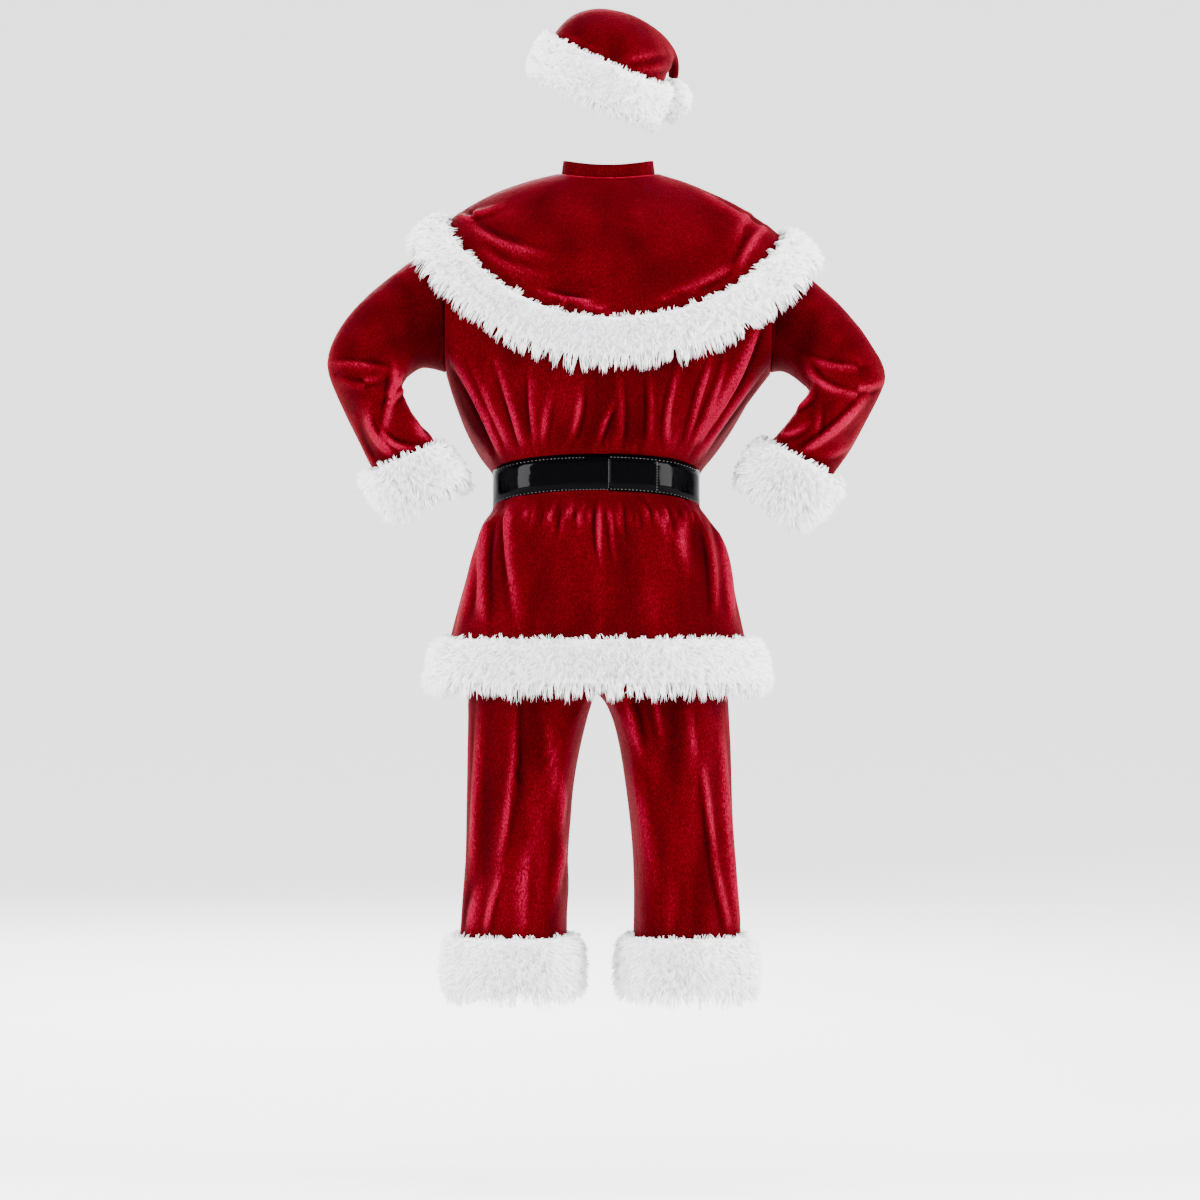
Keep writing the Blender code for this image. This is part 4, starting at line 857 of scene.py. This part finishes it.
def patent_material():
    """PVC patent leather: a smooth clear film over black, with faint dents and dust."""
    m = new_material("black_patent_pvc")
    place = add(m, "ShaderNodeTexCoord").outputs["Object"]
    dents = add(m, "ShaderNodeTexNoise", {"Vector": place, "Scale": 60.0, "Detail": 2.0})
    bump = add(m, "ShaderNodeBump", {
        "Height": dents.outputs["Fac"], "Strength": 0.25, "Distance": 0.001})
    smear = add(m, "ShaderNodeTexNoise", {"Vector": place, "Scale": 25.0, "Detail": 5.0})
    gloss = add(m, "ShaderNodeMapRange", {
        "Value": smear.outputs["Fac"], "From Min": 0.4, "From Max": 0.7,
        "To Min": 0.05, "To Max": 0.14})
    shader = add(m, "ShaderNodeBsdfPrincipled", {
        "Base Color": linear("#010102"), "Roughness": gloss.outputs[0],
        "Normal": bump.outputs[0], "Specular IOR Level": 0.022})
    return finish_material(m, shader)


patent = patent_material()
belt = rounded_copy("belt_strap", "belt_strap_patent", levels=2)
dressed(belt, patent, "belt_strap")


# Stitches of pale thread, 3 mm long, along both edges and down both sides of the lap
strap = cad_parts["belt_strap"].data
strap_tree = BVHTree.FromPolygons(
    [v.co for v in strap.vertices], [p.vertices for p in strap.polygons])
BELT_LOW, BELT_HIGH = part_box("belt_strap")
BELT_CENTRE_X = (BELT_LOW[0] + BELT_HIGH[0]) / 2.0
EDGE_IN = 0.0245
STITCH_STEP_DEG = 2.6
STITCH_SIZE = (0.0013, 0.00040, 0.00034)
LAP_SEAMS_DEG = (-9.3, -43.0)
LAP_STITCH_STEP = 0.0042
LAP_STITCHES = 11
RAY_FROM = 0.4


def on_strap(turn_deg, height):
    """The strap's outer face at a turn from the back middle, height above its middle line."""
    turn = math.radians(turn_deg)
    away = Vector((math.sin(turn), math.cos(turn), 0.0))
    radius = 0.14
    for _ in range(4):
        z = BELT_MIDDLE + BELT_SLOPE * radius * away.y + height
        start = Vector((BELT_CENTRE_X, 0.0, z)) + away * RAY_FROM
        hit, normal, _, _ = strap_tree.ray_cast(start, -away)
        if hit is None:
            return None
        radius = math.hypot(hit.x - BELT_CENTRE_X, hit.y)
    return hit, normal


def add_stitch(bm, place, along, out):
    """A rounded dash of thread that stands half its thickness proud of the strap."""
    along = along.normalized()
    side = out.cross(along).normalized()
    matrix = Matrix((
        (along.x, side.x, out.x, place.x), (along.y, side.y, out.y, place.y),
        (along.z, side.z, out.z, place.z), (0.0, 0.0, 0.0, 1.0)))
    made = bmesh.ops.create_icosphere(bm, subdivisions=1, radius=1.0)["verts"]
    bmesh.ops.scale(bm, verts=made, vec=STITCH_SIZE)
    bmesh.ops.transform(bm, verts=made, matrix=matrix)


bm = bmesh.new()
for height in (-EDGE_IN, EDGE_IN):
    turn = -180.0
    while turn < 180.0:
        here, there = on_strap(turn, height), on_strap(turn + 0.5, height)
        if here and there:
            add_stitch(bm, here[0], there[0] - here[0], here[1])
        turn += STITCH_STEP_DEG
for turn in LAP_SEAMS_DEG:
    for k in range(LAP_STITCHES):
        here = on_strap(turn, (k - LAP_STITCHES // 2) * LAP_STITCH_STEP)
        if here:
            add_stitch(bm, here[0], Vector((0.0, 0.0, 1.0)), here[1])
stitch_mesh = bpy.data.meshes.new("belt_stitches")
bm.to_mesh(stitch_mesh)
bm.free()
stitch_mesh.shade_smooth()
stitches = bpy.data.objects.new("belt_stitches", stitch_mesh)
bpy.context.scene.collection.objects.link(stitches)


def thread_material():
    """Grey-white spun polyester thread with its twist."""
    m = new_material("pale_polyester_thread")
    place = add(m, "ShaderNodeTexCoord").outputs["Object"]
    twist = add(m, "ShaderNodeTexNoise", {"Vector": place, "Scale": 1500.0})
    colour = colour_ramp(m, twist.outputs["Fac"], [(0.3, "#444443"), (0.7, "#7A7A78")])
    shader = add(m, "ShaderNodeBsdfPrincipled", {
        "Base Color": colour, "Roughness": 0.7, "Specular IOR Level": 0.2})
    return finish_material(m, shader)


stitches.data.materials.append(thread_material())
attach(stitches, "root")


def brass_material():
    """Brass-coloured plating on zinc: bright, with fine brushing lines."""
    m = new_material("brass_plated_zinc")
    place = add(m, "ShaderNodeTexCoord").outputs["Object"]
    lines = add(m, "ShaderNodeMapping", {"Vector": place, "Scale": (40.0, 40.0, 900.0)})
    brushing = add(m, "ShaderNodeTexNoise", {"Vector": lines.outputs[0], "Scale": 1.0})
    bump = add(m, "ShaderNodeBump", {
        "Height": brushing.outputs["Fac"], "Strength": 0.08, "Distance": 0.0004})
    shader = add(m, "ShaderNodeBsdfPrincipled", {
        "Base Color": linear("#D9B25A"), "Metallic": 1.0, "Roughness": 0.24,
        "Normal": bump.outputs[0]})
    return finish_material(m, shader)


BUCKLE_EDGE_DEG = 30.0
buckle = rounded_copy(
    "belt_buckle", "belt_buckle_brass", levels=1, keep_deg=BUCKLE_EDGE_DEG)
dressed(buckle, brass_material(), "belt_buckle")

# Floor, light and camera
# A pale plain room with large soft lamps, and a long lens behind the suit at mid height.
FLOOR_BELOW = 0.313
FLOOR_Z = cad_box[0][2] - FLOOR_BELOW
METRES_PER_PIXEL = 0.0015546
PHOTO_SIDE = 1200
CAMERA_DISTANCE = 8.0
SENSOR_MM = 36.0
TARGET = Vector((0.0187, 0.0, -0.656))


def pale_material():
    """Matt painted board, nearly white."""
    m = new_material("pale_matt_board")
    shader = add(m, "ShaderNodeBsdfPrincipled", {
        "Base Color": linear("#F8F8F8"), "Roughness": 0.9, "Specular IOR Level": 0.1,
        "Emission Color": linear("#FFFFFF"), "Emission Strength": 0.80})
    return finish_material(m, shader)


# A dish whose rim rises out of sight, so that no horizon shows behind the suit
DISH = [(0.001, 0.0), (4.0, 0.0), (6.0, 0.12), (8.0, 0.5), (10.0, 1.2), (12.0, 2.4), (14.0, 4.2)]
bm = bmesh.new()
profile = [bm.verts.new((r, 0.0, FLOOR_Z + z)) for r, z in DISH]
ribs = [bm.edges.new(pair) for pair in zip(profile, profile[1:])]
bmesh.ops.spin(bm, geom=profile + ribs, cent=(0.0, 0.0, 0.0), axis=(0.0, 0.0, 1.0),
               angle=2.0 * math.pi, steps=64, use_merge=True)
bmesh.ops.remove_doubles(bm, verts=bm.verts, dist=0.002)
bmesh.ops.recalc_face_normals(bm, faces=bm.faces)
floor_mesh = bpy.data.meshes.new("floor")
bm.to_mesh(floor_mesh)
bm.free()
floor_mesh.shade_smooth()
floor = bpy.data.objects.new("floor", floor_mesh)
bpy.context.scene.collection.objects.link(floor)
floor.data.materials.append(pale_material())

Lamp = namedtuple("Lamp", "name place width height watts")
LAMPS = [
    Lamp("key", (-4.4, 2.4, 0.7), 1.8, 2.8, 800.0),
    Lamp("fill", (4.6, 2.2, 0.5), 1.5, 2.6, 620.0),
    Lamp("top", (0.0, 1.2, 3.8), 2.0, 2.0, 300.0),
    Lamp("front", (0.8, -4.6, 1.6), 2.0, 2.4, 520.0),
]
for lamp in LAMPS:
    data = bpy.data.lights.new(lamp.name, "AREA")
    data.shape = "RECTANGLE"
    data.size, data.size_y = lamp.width, lamp.height
    data.energy = lamp.watts
    light = bpy.data.objects.new(lamp.name, data)
    light.location = lamp.place
    light.rotation_euler = (TARGET - light.location).to_track_quat("-Z", "Y").to_euler()
    bpy.context.scene.collection.objects.link(light)

world = bpy.data.worlds.new("pale_room")
bpy.context.scene.world = world
world.use_nodes = True
background = world.node_tree.nodes["Background"]
background.inputs["Color"].default_value = linear("#FFFFFF")
background.inputs["Strength"].default_value = 1.3

camera_data = bpy.data.cameras.new("camera")
camera_data.sensor_width = SENSOR_MM
camera_data.lens = SENSOR_MM * CAMERA_DISTANCE / (PHOTO_SIDE * METRES_PER_PIXEL)
camera = bpy.data.objects.new("camera", camera_data)
camera.location = TARGET + Vector((0.0, CAMERA_DISTANCE, 0.0))
camera.rotation_euler = (TARGET - camera.location).to_track_quat("-Z", "Y").to_euler()
bpy.context.scene.collection.objects.link(camera)
bpy.context.scene.camera = camera
